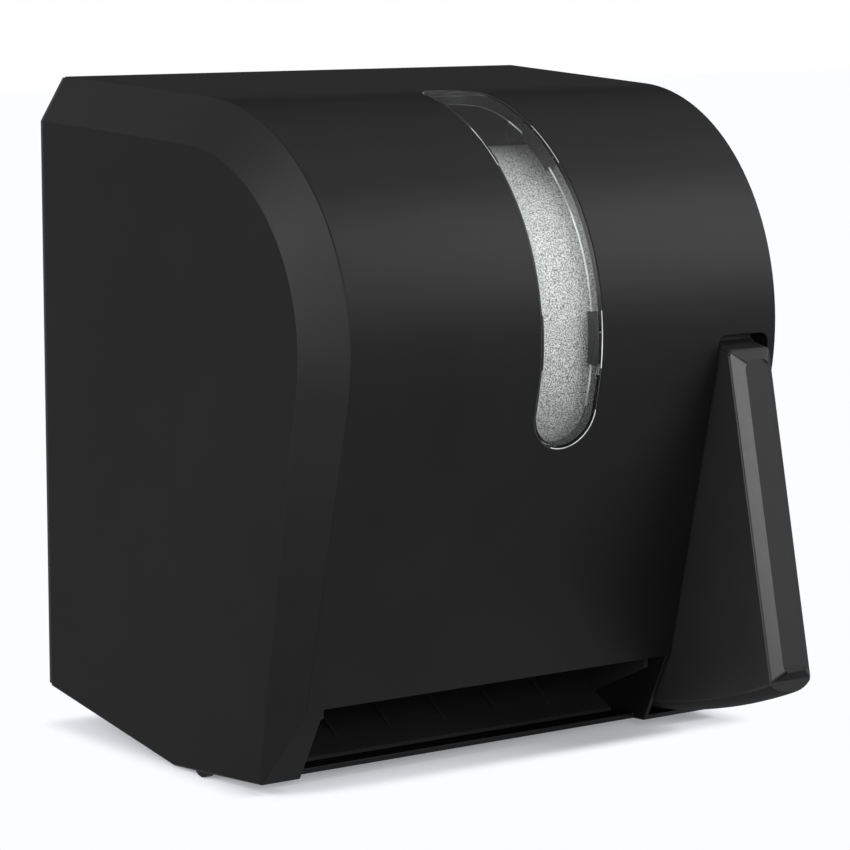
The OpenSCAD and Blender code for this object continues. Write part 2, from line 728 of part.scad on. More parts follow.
// Towel roll and its holder
hub_flange_t = 2;
hub_flange_r = core_r + 5;
seat_r = core_r - hub_play;
hub_seat = 5;
hub_len = 18;
hub_tip_r = core_r - 4.5;
module roll_arm() color(dark) place() {
    difference() {
        union() {
            along_x(arm_x, arm_x + arm_t) {
                translate(roll_axis) circle(r = hub_flange_r);
                translate([roll_axis[0], roll_axis[1] - arm_half_h])
                    square([arm_pivot_y - roll_axis[0], 2 * arm_half_h]);
            }
            translate([arm_mid, arm_pivot_y, roll_axis[1]])
                cylinder(r = arm_barrel_r, h = 2 * (lug_z - arm_lug_gap), center = true);
        }
        translate([arm_mid, arm_pivot_y, roll_axis[1]])
            cylinder(r = arm_pin_r + run_gap, h = 6 * lug_z, center = true);
        rod(roll_axis, arm_x - arm_t, arm_x + 2 * arm_t, hub_screw_r + run_gap);
    }
}
module arm_pin() color(steel) place() {
    translate([arm_mid, arm_pivot_y, roll_axis[1] - lug_z - arm_lug_t]) {
        cylinder(r = arm_pin_r, h = 2 * (lug_z + arm_lug_t));
        translate([0, 0, 2 * (lug_z + arm_lug_t)]) cylinder(r = 2 * arm_pin_r, h = 1.5);
    }
}

// A roll hub: flange, seat and tapered nose, its flange's back at z = 0
module roll_hub() {
    difference() {
        rotate_extrude() polygon([[0, 0], [hub_flange_r, 0], [hub_flange_r, hub_flange_t],
            [seat_r, hub_flange_t], [seat_r, hub_flange_t + hub_seat], [hub_tip_r, hub_flange_t + hub_len],
            [0, hub_flange_t + hub_len]]);
        translate([0, 0, -1]) cylinder(r = hub_screw_r + run_gap, h = 13);
    }
}
module roll_hub_left() color(dark) place()
    translate([arm_x + arm_t, roll_axis[0], roll_axis[1]]) rotate([0, 90, 0]) roll_hub();
module roll_hub_right() color(dark) place()
    translate([right_frame_x, roll_axis[0], roll_axis[1]]) rotate([0, -90, 0]) roll_hub();
module hub_screw_left() color(steel) place()
    translate([arm_x, roll_axis[0], roll_axis[1]]) rotate([0, -90, 0]) screw(arm_t + 10);
module hub_screw_right() color(steel) place()
    translate([right_outer, roll_axis[0], roll_axis[1]]) rotate([0, 90, 0]) screw(frame_t + 10);

module roll_core() color("tan") place() difference() {
    rod(roll_axis, roll_left, roll_right, core_r + core_wall);
    rod(roll_axis, roll_left - 1, roll_right + 1, core_r);
}
module towel_roll() color(paper) place() difference() {
    rod(roll_axis, roll_left, roll_right, roll_r);
    rod(roll_axis, roll_left - 1, roll_right + 1, core_r + core_wall + 0.05);
}

// Feed roller on its shaft, in flanged bushes, with the clutch pinion at its right end
roller_gap = 2.5;
ring_t = 2;
ring_w = 26;
ring_count = 4;
feed_left = left_inner + roller_gap;
feed_right = right_frame_x - roller_gap;
pinion_hub_r = 8;
sector_x = paddle_left + paddle_wall;
sector_t = 5;
pinion_x = sector_x - 1.5;
pinion_end = pinion_x + sector_t + 3;
clip_t = 1.2;
shaft_end = pinion_end + clip_t + 2;
module feed_shaft() color(steel) place() rod(feed_axis, left_frame_x - 3, shaft_end, shaft_r);
function ring_x(i) = mix(feed_left, feed_right, (i + 0.5) / ring_count) - ring_w / 2;
module feed_roller() color(dark) place() difference() {
    rod(feed_axis, feed_left, feed_right, feed_r - ring_t / 2);
    rod(feed_axis, feed_left - 1, feed_right + 1, shaft_r + press_gap);
    for (i = [0:ring_count - 1]) difference() {
        rod(feed_axis, ring_x(i) - 0.05, ring_x(i) + ring_w + 0.05, 2 * feed_r);
        rod(feed_axis, ring_x(i) - 1, ring_x(i) + ring_w + 1, feed_r - ring_t - press_gap);
    }
}
module grip_rings() color([0.25, 0.25, 0.26]) place() for (i = [0:ring_count - 1]) difference() {
    rod(feed_axis, ring_x(i), ring_x(i) + ring_w, feed_r);
    rod(feed_axis, ring_x(i) - 1, ring_x(i) + ring_w + 1, feed_r - ring_t);
}

// A flanged bush along +Z, its flange's seat at z = 0
module bush() {
    difference() {
        union() {
            cylinder(r = bush_r + 2.5, h = 1.5);
            translate([0, 0, -frame_t]) cylinder(r = bush_r, h = frame_t + 1);
        }
        translate([0, 0, -2 * frame_t]) cylinder(r = shaft_r + run_gap, h = 4 * frame_t);
    }
}
module feed_bush_left() color(paper) place()
    translate([left_inner, feed_axis[0], feed_axis[1]]) rotate([0, 90, 0]) bush();
module feed_bush_right() color(paper) place()
    translate([right_frame_x, feed_axis[0], feed_axis[1]]) rotate([0, -90, 0]) bush();

// Involute gearing with stub teeth
pressure_angle = 25;
addendum = 0.8 * gear_module;
dedendum = 1.05 * gear_module;
backlash = 0.3;
flank_steps = 4;
function involute(a) = tan(a) * 180 / PI - a;
function flank_angle(teeth, r) =
    let (pitch_r = gear_module * teeth / 2, base_r = pitch_r * cos(pressure_angle))
    let (play = backlash / 4 / pitch_r * 180 / PI)
    90 / teeth - play + involute(pressure_angle) - involute(acos(min(base_r / r, 1)));

// One tooth's outline about the direction 'at', anticlockwise, from root to tip and back
function tooth(teeth, at) = let (pitch_r = gear_module * teeth / 2, base_r = pitch_r * cos(pressure_angle),
    root_r = pitch_r - dedendum, tip_r = pitch_r + addendum, low_r = max(root_r, base_r),
    radii = [for (i = [0:flank_steps]) mix(low_r, tip_r, i / flank_steps)])
    concat([root_r * polar(at - flank_angle(teeth, low_r))],
        [for (r = radii) r * polar(at - flank_angle(teeth, r))],
        [for (i = [flank_steps:-1:0]) radii[i] * polar(at + flank_angle(teeth, radii[i]))],
        [root_r * polar(at + flank_angle(teeth, low_r))]);

module clutch_pinion() color(paper) place() difference() {
    union() {
        translate([0, feed_axis[0], feed_axis[1]]) along_x(pinion_x, pinion_end)
            polygon([for (i = [0:pinion_teeth - 1])
                each tooth(pinion_teeth, 180 - gear_angle + i * 360 / pinion_teeth)]);
        rod(feed_axis, right_outer + 2, pinion_x, pinion_hub_r);
    }
    rod(feed_axis, right_outer, pinion_end + 1, shaft_r + run_gap);
}
module shaft_clip() color(steel) place() difference() {
    rod(feed_axis, pinion_end + 0.3, pinion_end + 0.3 + clip_t, shaft_r + 3);
    rod(feed_axis, pinion_end, pinion_end + 2 * clip_t, shaft_r + press_gap);
}

// Sector on the paddle, a gap between two of its teeth on the line to the pinion
sector_before = 3;
sector_after = 17;
sector_step = 360 / sector_teeth;
arm_w = 12;
arm_angle = -92;
sector_hub_r = 5;
arm_len = 74;
module drive_sector() color(paper) place() difference() {
    first = -gear_angle - (sector_after + 0.5) * sector_step;
    count = sector_before + sector_after;
    union() {
        translate([0, pivot[0], pivot[1]]) along_x(sector_x, sector_x + sector_t) polygon(concat(
            [for (i = [0:count]) each tooth(sector_teeth, first + i * sector_step)], [[0, 0]]));
        along_x(sector_x, sector_x + sector_t) {
            translate(pivot) rotate(arm_angle) translate([0, -arm_w / 2]) square([arm_len, arm_w]);
            translate(pivot) circle(r = sector_hub_r);
        }
    }
    rod(pivot, sector_x - 1, sector_x + sector_t + 1, paddle_pin_r + press_gap);
    sector_screw_spots() cylinder(r = screw_r + run_gap, h = 6 * sector_t, center = true);
}
module sector_screw_spots() {
    for (d = [38, 64]) {
        p = pivot + d * polar(arm_angle);
        translate([sector_x + sector_t, p[0], p[1]]) rotate([0, 90, 0]) children();
    }
}
screw_skin = 1.4;
module sector_screws() color(steel) place()
    sector_screw_spots() screw(sector_t + paddle_wall - screw_skin - 0.3);

// Pinch roller: sprung blocks in the frames' slots carry its shaft
block_w = 8;
pinch_pin_r = 3;
block_x = [left_frame_x - 2.5, right_outer + 2 - block_w];
module pinch_blocks() color(paper) place() for (x = block_x) difference() {
    block([x, pinch_axis[0] - block_l / 2, pinch_axis[1] - slot_h / 2 + 0.15],
        [x + block_w, pinch_axis[0] + block_l / 2, pinch_axis[1] + slot_h / 2 - 0.15]);
    rod(pinch_axis, x - 1, x + block_w + 1, pinch_pin_r + run_gap);
}
pinch_left = block_x[0] + block_w + 1;
pinch_right = block_x[1] - 1;
module pinch_shaft() color(steel) place()
    rod(pinch_axis, block_x[0] - 1, block_x[1] + block_w + 0.5, pinch_pin_r);
module pinch_roller() color([0.25, 0.25, 0.26]) place() difference() {
    rod(pinch_axis, pinch_left, pinch_right, pinch_r);
    rod(pinch_axis, pinch_left - 1, pinch_right + 1, pinch_pin_r + press_gap);
}

// A wire of radius r swept along a path, six-sided, its rings squared to the axis direction
function rings(path, r, axis) = [for (i = [0:len(path) - 1])
    let (t = unit(path[min(i + 1, len(path) - 1)] - path[max(i - 1, 0)]))
    let (u = unit(axis - (axis * t) * t), v = cross(t, u))
    for (k = [0:5]) path[i] + r * (cos(60 * k) * u + sin(60 * k) * v)];
function least_gap(path, r, apart) = min([for (i = [0:len(path) - 1 - apart])
    for (j = [i + apart:len(path) - 1]) norm(path[i] - path[j])]) - 2 * r;
module wire(path, r, axis) {
    n = len(path);
    skin = [for (i = [0:n - 2]) for (k = [0:5])
        let (m = (k + 1) % 6, a = 6 * i, b = a + 6)
        each [[a + k, b + k, b + m], [a + k, b + m, a + m]]];
    ends = [[for (k = [0:5]) k], [for (k = [5:-1:0]) 6 * (n - 1) + k]];
    polyhedron(rings(path, r, axis), concat(skin, ends));
}

// Pinch springs: open coils along Y in the frames' slots
curl_rings = 8;
pinch_curls = 6;
pinch_coil_r = 3.3;
pinch_wire_r = 0.4;
pinch_steps = pinch_curls * curl_rings;
pinch_coil = [for (i = [0:pinch_steps])
    let (a = 360 * i / curl_rings, y = mix(pinch_wire_r, spring_l - pinch_wire_r, i / pinch_steps))
    [pinch_coil_r * cos(a), y, pinch_coil_r * sin(a)]];
echo(pinch_spring_gap = least_gap(pinch_coil, pinch_wire_r, curl_rings / 2));
module pinch_springs() color(steel) place()
    for (x = [left_frame_x + frame_t / 2, right_frame_x + frame_t / 2])
        translate([x, pinch_axis[0] + block_l / 2 + 0.2, pinch_axis[1]])
            wire(pinch_coil, pinch_wire_r, [0, 1, 0]);

// Paddle: a hollow wedge in its own frame, pivot at the origin and its pad upright at y = -paddle_reach
belly_centre = [52.7, 203.65];
boss_r = 8;
pad_top_z = -4.15;
pad_low_z = -170.25;
pad_top_r = 5;
pad_low_r = 3;
pad_sink = 1.4;
pad_margin = 0.2;
sole_drop = 4.25;
bevel_y = paddle_bevel - paddle_reach;
bevel_more = 1 + pad_sink / paddle_bevel;
paddle_top = [bevel_y, pad_top_z + paddle_bevel_w];
paddle_sole = [bevel_y, pad_low_z - sole_drop];
paddle_brow = mix(paddle_top, [-paddle_reach, pad_top_z], bevel_more);
paddle_foot = mix(paddle_sole, [-paddle_reach, pad_low_z], bevel_more);
paddle_toe = [bevel_y + 2.3, -200];
paddle_heel = [87.5, -200];
paddle_back = [[91.9, -183.75], [69.1, -153.85], [10, -26]];
// Tab that stands up behind the cover, above the paddle's sloping top
tab_y = -7;
tab_t = 3.5;
tab_z = 13;
tab_foot = [tab_y, 7.6];
paddle_outline = concat([[0, boss_r], [tab_y + tab_t, tab_z], [tab_y, tab_z], tab_foot, paddle_top,
    paddle_brow, paddle_foot, paddle_sole, paddle_toe, paddle_heel], paddle_back);
front_wall = 2 * paddle_wall;
top_edge_r = 4;
module paddle_frame() {
    translate([0, pivot[0], pivot[1]]) rotate([-paddle_lean, 0, 0]) children();
}
// A point of the paddle's frame as a profile point
function paddle_point(p) = pivot + [p[0] * cos(paddle_lean) + p[1] * sin(paddle_lean),
    p[1] * cos(paddle_lean) - p[0] * sin(paddle_lean)];
// Left side of the paddle at the profile point p
function paddle_edge(p) = paddle_left - tan(paddle_draft) * (p[0] + toe_depth);

// Underside: half an ellipse across the paddle, turned about the belly's centre
module belly(half, r) {
    arc = [for (a = [-90:10:90]) [r - belly_rise * (1 - cos(a)), half * sin(a)]];
    translate([paddle_x, belly_centre[0], belly_centre[1]]) rotate([0, 90, 0])
        rotate_extrude($fn = 180) polygon(concat([[0, -half]], arc, [[0, half]]));
}
module paddle_form() {
    intersection() {
        union() {
            along_x(paddle_left, paddle_right) polygon(paddle_outline);
            rod([0, 0], paddle_left, paddle_right, boss_r);
        }
        belly(paddle_w / 2 + 0.3, paddle_belly_r);
    }
}

// Drafted side, bevel along the front edge and rounded upper edge, on the left
module paddle_side_cuts() {
    reach = 400;
    top_x = paddle_edge(paddle_point(paddle_top));
    front_x = paddle_edge(paddle_point((paddle_brow + paddle_foot) / 2)) + paddle_bevel_w;
    slope = tab_foot - paddle_top;
    edge_axis = top_edge_r - 0.25;
    translate([paddle_left, -toe_depth, 0]) rotate([0, 0, paddle_draft])
        block([-reach / 4, -reach, -reach], [0, reach, reach]);
    paddle_frame() {
        translate([front_x, -paddle_reach, 0]) rotate([0, 0, atan2(paddle_bevel_w, paddle_bevel)])
            block([-reach / 4, -reach / 4, -reach], [0, reach / 4, reach]);
        translate([top_x, paddle_top[0], paddle_top[1]]) rotate([atan2(slope[1], slope[0]), 0, 0])
            difference() {
                block([-1, -3 * top_edge_r, -edge_axis], [edge_axis, norm(slope) - 0.5, 1]);
                translate([edge_axis, norm(slope) + 1, -edge_axis]) rotate([90, 0, 0])
                    cylinder(r = top_edge_r, h = norm(slope) + 4 * top_edge_r);
            }
    }
}

// Flat pad in the front, with round corners
module pad_cut() {
    front_x = paddle_edge(paddle_point((paddle_brow + paddle_foot) / 2)) + paddle_bevel_w + pad_margin;
    x0 = front_x;
    x1 = 2 * paddle_x - front_x;
    z0 = pad_low_z + pad_margin;
    z1 = pad_top_z - pad_margin;
    y0 = -paddle_reach - 2 * pad_sink;
    along_y(y0, -paddle_reach) polygon([[x0 + pad_low_r, z0], [x1 - pad_low_r, z0], [x1, z0 + pad_low_r],
        [x1, z1 - pad_top_r], [x1 - pad_top_r, z1], [x0 + pad_top_r, z1], [x0, z1 - pad_top_r],
        [x0, z0 + pad_low_r]]);
    for (x = [x0 + pad_top_r, x1 - pad_top_r])
        translate([x, -paddle_reach, z1 - pad_top_r]) rotate([90, 0, 0])
            cylinder(r = pad_top_r, h = 2 * pad_sink);
    for (x = [x0 + pad_low_r, x1 - pad_low_r])
        translate([x, -paddle_reach, z0 + pad_low_r]) rotate([90, 0, 0])
            cylinder(r = pad_low_r, h = 2 * pad_sink);
}

// Hollow of the paddle, open to the rear
hollow_y = -1.5;
hollow_r = 5.7;
module paddle_hollow() {
    front_y = front_wall - paddle_reach;
    far = 140;
    intersection() {
        along_x(paddle_left + paddle_wall, paddle_right - paddle_wall) polygon([[hollow_y, far],
            [hollow_y, hollow_r], [tab_y + 1, hollow_r - 0.4], paddle_top + [3.6, -1.2],
            [front_y, pad_top_z], [front_y, pad_low_z], paddle_sole + [paddle_wall + 1, 0],
            [bevel_y + 2 * paddle_wall, -220], [far, -220], [far, far]]);
        belly(paddle_w / 2 - paddle_wall + 0.3, paddle_belly_r - paddle_wall);
    }
}
module paddle() color(black) place() difference() {
    paddle_frame() paddle_form();
    paddle_side_cuts();
    translate([2 * paddle_x, 0, 0]) mirror([1, 0, 0]) paddle_side_cuts();
    paddle_frame() pad_cut();
    paddle_frame() paddle_hollow();
    rod(pivot, paddle_left - 10, paddle_right + 10, paddle_pin_r + press_gap);
    sector_screw_spots() translate([0, 0, screw_skin - sector_t - paddle_wall])
        cylinder(r = screw_r + run_gap, h = 2 * paddle_wall);
}
module paddle_pin() color(steel) place() rod(pivot, paddle_left + 0.6, paddle_right - 0.6, paddle_pin_r);

// Bracket on the right frame: two ears carry the paddle's pin
ear_t = 3;
ear_r = 5;
ear_left = sector_x + sector_t + 1;
ear_right = paddle_right - paddle_wall - 1.5 - ear_t;
bracket_t = 8;
bracket_h = 18;
bracket_screw_half = 5;
bracket_screw_len = 14;
module bracket_screw_spots() {
    for (z = [-bracket_screw_half, bracket_screw_half])
        translate([right_frame_x, bracket_y, bracket_z + z]) rotate([0, -90, 0]) children();
}
module paddle_bracket() color(dark) place() difference() {
    union() {
        block([right_outer, bracket_y - bracket_t / 2, bracket_z - bracket_h / 2],
            [ear_right + ear_t, bracket_y + bracket_t / 2, bracket_z + bracket_h / 2]);
        for (x = [ear_left, ear_right]) along_x(x, x + ear_t) {
            translate(pivot) circle(r = ear_r);
            polygon([pivot + [0, ear_r], pivot + [0, -ear_r], [bracket_y, bracket_z - bracket_h / 2],
                [bracket_y, bracket_z + bracket_h / 2]]);
        }
    }
    rod(pivot, ear_left - 1, ear_right + ear_t + 1, paddle_pin_r + run_gap);
    bracket_screw_spots() translate([0, 0, -bracket_screw_len - 2])
        cylinder(r = screw_r + run_gap, h = bracket_screw_len + 6);
}
module bracket_screws() color(steel) place() bracket_screw_spots() screw(bracket_screw_len);

// Return spring: a torsion coil on the pin between the ears, with legs on the paddle's front and the bracket
return_curls = 4;
return_coil_r = 4.2;
return_wire_r = 0.55;
return_end_gap = 0.3;
return_start = -70;
return_end = return_curls * 360 - 60;
return_count = return_curls * curl_rings + 1;
leg_front = 22.5;
leg_rear = 20;
return_from = ear_left + ear_t + return_end_gap + return_wire_r;
return_to = ear_right - return_end_gap - return_wire_r;
function return_point(i) = let (s = i / return_count, a = mix(return_start, return_end, s))
    [mix(return_from, return_to, s), return_coil_r * cos(a), return_coil_r * sin(a)];
function return_tangent(a) = [0, -sin(a), cos(a)];
return_helix = [for (i = [0:return_count]) return_point(i)];
return_path = concat([return_helix[0] - leg_front * return_tangent(return_start)], return_helix,
    [return_helix[return_count] + leg_rear * return_tangent(return_end)]);
echo(paddle_spring_gap = least_gap(return_helix, return_wire_r, curl_rings / 2));
module paddle_spring() color(steel) place()
    translate([0, pivot[0], pivot[1]]) wire(return_path, return_wire_r, [1, 0, 0]);

// Cam lock in the right side, with its keeper on the back plate
module lock_housing() color(steel) place() lock_frame() difference() {
    union() {
        cylinder(r = lock_r + 3, h = bezel_t);
        translate([0, 0, -lock_len]) cylinder(r = lock_r, h = lock_len + 1);
    }
    translate([0, 0, -2 * lock_len]) cylinder(r = plug_r + run_gap, h = 4 * lock_len);
}
module lock_nut() color(steel) place() lock_frame() difference() {
    translate([0, 0, -cover_wall - nut_t - 0.1]) cylinder(r = lock_r + 4.5, h = nut_t, $fn = 6);
    translate([0, 0, -lock_len]) cylinder(r = lock_r + press_gap, h = lock_len);
}
key_w = 1.6;
module lock_plug() color(steel) place() lock_frame() difference() {
    translate([0, 0, -lock_len - 0.3]) cylinder(r = plug_r, h = lock_len + bezel_t);
    translate([-key_w / 2, -plug_r + 1.5, bezel_t - 5]) cube([key_w, 2 * plug_r - 3, 8]);
    translate([0, 0, -lock_len - 1]) cylinder(r = screw_r + run_gap, h = 8);
}
module lock_cam() color(steel) place() lock_frame() difference() {
    translate([0, 0, -lock_len - 0.3 - cam_t]) linear_extrude(cam_t) {
        circle(r = plug_r + 1);
        translate([-5, 0]) square([10, cam_reach]);
    }
    translate([0, 0, -2 * lock_len]) cylinder(r = screw_r + run_gap, h = 2 * lock_len);
}
module cam_screw() color(steel) place() lock_frame()
    translate([0, 0, -lock_len - 0.3 - cam_t]) rotate([180, 0, 0]) screw(cam_t + 5);
keeper_w = 6;
keeper_half_h = 3;
keeper_hook = 16;
keeper_foot = 19;
keeper_screw_drop = 12;
hook_t = 5;
hook_reach = 12;
cam_gap = 7;
keeper_x = half_w - lock_len - cam_t / 2 - 2;
keeper_z = lock_level - cam_reach - cam_gap;
keeper_nose_y = -lock_depth - hook_reach;
module lock_keeper() color(steel) place() difference() {
    union() {
        block([keeper_x - keeper_w / 2, keeper_nose_y, keeper_z - keeper_half_h],
            [keeper_x + keeper_w / 2, -plate_t, keeper_z + keeper_half_h]);
        block([keeper_x - keeper_w / 2, keeper_nose_y, keeper_z - keeper_half_h],
            [keeper_x + keeper_w / 2, keeper_nose_y + hook_t, keeper_z + keeper_hook]);
        block([keeper_x - keeper_w, -plate_t - flange_t, keeper_z - keeper_foot],
            [keeper_x + keeper_w, -plate_t, keeper_z + keeper_half_h]);
    }
    keeper_screw_spot() cylinder(r = screw_r + run_gap, h = 6 * plate_t, center = true);
}

back_plate();
bottom_pan();
left_frame();
right_frame();
cross_bar();
frame_screws();
pan_screws();
bar_screws();
tear_bar();
chute_tray();
roll_arm();
arm_pin();
roll_hub_left();
roll_hub_right();
hub_screw_left();
hub_screw_right();
roll_core();
towel_roll();
feed_shaft();
feed_roller();
grip_rings();
feed_bush_left();
feed_bush_right();
shaft_clip();
clutch_pinion();
pinch_blocks();
pinch_roller();
pinch_shaft();
pinch_springs();
paddle();
paddle_pin();
paddle_bracket();
bracket_screws();
paddle_spring();
drive_sector();
sector_screws();
front_cover();
window_lens();
hinge_pins();
lock_housing();
lock_nut();
lock_plug();
lock_cam();
cam_screw();
lock_keeper();
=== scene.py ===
"""Paddle roll towel dispenser: looks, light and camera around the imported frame. Lengths are in metres."""
import json
import math

import bmesh
import bpy
import numpy as np
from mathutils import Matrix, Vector

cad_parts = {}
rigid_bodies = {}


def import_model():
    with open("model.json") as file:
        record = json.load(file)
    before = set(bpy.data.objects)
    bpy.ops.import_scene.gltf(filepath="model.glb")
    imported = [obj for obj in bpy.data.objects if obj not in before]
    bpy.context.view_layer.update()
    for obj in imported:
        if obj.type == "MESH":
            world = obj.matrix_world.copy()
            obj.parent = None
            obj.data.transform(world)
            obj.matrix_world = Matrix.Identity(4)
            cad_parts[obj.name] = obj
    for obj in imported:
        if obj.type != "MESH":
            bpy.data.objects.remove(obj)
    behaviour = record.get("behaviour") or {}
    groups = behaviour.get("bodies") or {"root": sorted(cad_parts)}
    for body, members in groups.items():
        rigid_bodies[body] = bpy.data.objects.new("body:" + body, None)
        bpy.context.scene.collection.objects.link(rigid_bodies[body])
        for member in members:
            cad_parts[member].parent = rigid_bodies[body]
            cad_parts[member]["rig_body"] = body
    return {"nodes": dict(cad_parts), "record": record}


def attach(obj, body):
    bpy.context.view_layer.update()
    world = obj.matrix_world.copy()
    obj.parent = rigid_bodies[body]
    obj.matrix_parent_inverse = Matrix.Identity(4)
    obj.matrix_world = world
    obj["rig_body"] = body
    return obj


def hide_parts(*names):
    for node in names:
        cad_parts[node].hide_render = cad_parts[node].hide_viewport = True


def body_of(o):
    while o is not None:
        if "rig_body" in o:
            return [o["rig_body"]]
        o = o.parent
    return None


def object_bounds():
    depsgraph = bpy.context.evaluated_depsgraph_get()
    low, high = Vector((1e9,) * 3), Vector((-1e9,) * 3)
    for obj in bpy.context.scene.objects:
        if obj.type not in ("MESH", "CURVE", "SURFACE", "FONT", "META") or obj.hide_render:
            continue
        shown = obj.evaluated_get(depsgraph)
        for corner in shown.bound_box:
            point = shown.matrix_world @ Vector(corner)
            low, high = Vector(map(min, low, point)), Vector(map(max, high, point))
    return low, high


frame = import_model()
cad_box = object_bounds()
nodes = frame["nodes"]
subparts = {entry["node"]: entry for entry in frame["record"]["subparts"]}
MM = 0.001


def corners_of(mesh):
    """A mesh's corners, one row of x, y and z for each."""
    places = np.empty(3 * len(mesh.vertices))
    mesh.vertices.foreach_get("co", places)
    return places.reshape(-1, 3)


# The roll's box and its axis, about which the cover's brow is round too
roll_corners = corners_of(nodes["towel_roll"].data)
roll_low, roll_high = roll_corners.min(0), roll_corners.max(0)
AXIS_Y, AXIS_Z = (roll_low[1:] + roll_high[1:]) / 2
ROLL_RADIUS = (roll_high[1] - roll_low[1]) / 2
BROW_RADIUS = 124.0 * MM


# --- Finishes ---


def linear(hex_colour):
    """sRGB hex to linear RGBA, by the standard's two-piece curve."""
    c = np.array([int(hex_colour[i:i + 2], 16) for i in (1, 3, 5)]) / 255.0
    c = np.where(c <= 0.04045, c / 12.92, ((c + 0.055) / 1.055) ** 2.4)
    return (*c.tolist(), 1.0)


def add(tree, kind, settings=None, **inputs):
    """One node: settings are its own properties, inputs are socket values or the sockets linked to them.

    An input goes by its socket's name with _ for a space, or by _ and the socket's number.
    """
    made = tree.nodes.new(kind)
    for key, value in (settings or {}).items():
        setattr(made, key, value)
    for key, value in inputs.items():
        socket = made.inputs[int(key[1:])] if key[1:].isdigit() else made.inputs[key.replace("_", " ")]
        if isinstance(value, bpy.types.NodeSocket):
            tree.links.new(value, socket)
        else:
            socket.default_value = value
    return made


def material(name):
    """An empty node material: its tree and its surface socket."""
    made = bpy.data.materials.new(name)
    made.use_nodes = True
    tree = made.node_tree
    tree.nodes.clear()
    return made, tree, add(tree, "ShaderNodeOutputMaterial").inputs["Surface"]


def per_mm(size_mm):
    """Noise scale whose features are about size_mm across, in object metres."""
    return 1.0 / (size_mm * MM)


# Mouldings: how far apart the melt's faint flow marks are, how far roughness varies with the grain, and how
# much of the grain's depth shows
FLOW_MM = 60
ROUGH_SPREAD = 0.04
GRAIN_BUMP = 0.15


def moulded_abs(name, dark, light, rough, sheen, grain_mm, grain_depth_mm, matt=(), grip_and_painted_shade=()):
    """Moulded ABS from a spark-eroded tool: near-black, a soft satin sheen broken up by a fine even grain.

    Such a tool's grain is about 0.1 mm across, and is drawn coarser here so that it shows. A row of matt is
    for faces that point one way, where the tool was left rougher: that way, the two cosines between which
    this sets in, and then the roughness that it adds. A row of the other kind has the same way and
    cosines, and then the share of the sheen that it takes, mixing in plain diffuse instead: painted shade
    that darkens faces by the way they point, apart from a matt grip's own duller finish.
    """
    made, tree, surface = material(name)
    coords = add(tree, "ShaderNodeTexCoord")
    place, normal = coords.outputs["Object"], coords.outputs["Normal"]
    flow = add(tree, "ShaderNodeTexNoise", Vector=place, Scale=per_mm(FLOW_MM), Detail=3.0, Roughness=0.6)
    grain = add(tree, "ShaderNodeTexNoise", Vector=place, Scale=per_mm(grain_mm), Detail=2.0, Roughness=0.55)
    shade = add(tree, "ShaderNodeMapRange", Value=flow.outputs["Fac"], From_Min=0.3, From_Max=0.7)
    colour = add(tree, "ShaderNodeMix", {"data_type": "RGBA"}, _0=shade.outputs["Result"], _6=linear(dark),
                 _7=linear(light)).outputs[2]
    gloss = add(tree, "ShaderNodeMapRange", Value=grain.outputs["Fac"], From_Min=0.3, From_Max=0.7,
                To_Min=rough - ROUGH_SPREAD, To_Max=rough + ROUGH_SPREAD)
    rough_here = gloss.outputs["Result"]
    for way, low, high, more in matt:
        turn = add(tree, "ShaderNodeVectorMath", {"operation": "DOT_PRODUCT"}, _0=normal, _1=way)
        rise = add(tree, "ShaderNodeMapRange", Value=turn.outputs["Value"], From_Min=low, From_Max=high,
                   To_Max=more)
        rough_here = add(tree, "ShaderNodeMath", {"operation": "ADD"}, _0=rough_here,
                         _1=rise.outputs["Result"]).outputs["Value"]
    bump = add(tree, "ShaderNodeBump", Height=grain.outputs["Fac"], Strength=GRAIN_BUMP,
               Distance=grain_depth_mm * MM)
    shader = add(tree, "ShaderNodeBsdfPrincipled", Base_Color=colour, Roughness=rough_here, IOR=1.53,
                 Specular_IOR_Level=sheen, Normal=bump.outputs["Normal"])
    # Painted shade: faces that point a row's way lose that share of their sheen to plain diffuse, apart from
    # a grip's duller pad
    for way, low, high, taken in grip_and_painted_shade:
        turn = add(tree, "ShaderNodeVectorMath", {"operation": "DOT_PRODUCT"}, _0=normal, _1=way)
        amount = add(tree, "ShaderNodeMapRange", Value=turn.outputs["Value"], From_Min=low, From_Max=high,
                     To_Max=taken)
        plain = add(tree, "ShaderNodeBsdfDiffuse", Color=colour)
        shader = add(tree, "ShaderNodeMixShader", Fac=amount.outputs["Result"], _1=shader.outputs[0],
                     _2=plain.outputs["BSDF"])
    tree.links.new(shader.outputs[0], surface)
    return made


def plain_moulding(name, dark, light, rough, sheen=0.3):
    """Moulded plastic, rubber or wound board of the inner parts: matt, with a slight mottling."""
    return moulded_abs(name, dark, light, rough, sheen, grain_mm=0.8, grain_depth_mm=0.05)


# The lens's glare: the share of light that its face and its edges mirror, and how sharply it rises
FACE_GLARE, EDGE_GLARE, GLARE_POWER = 0.018, 0.12, 12.0


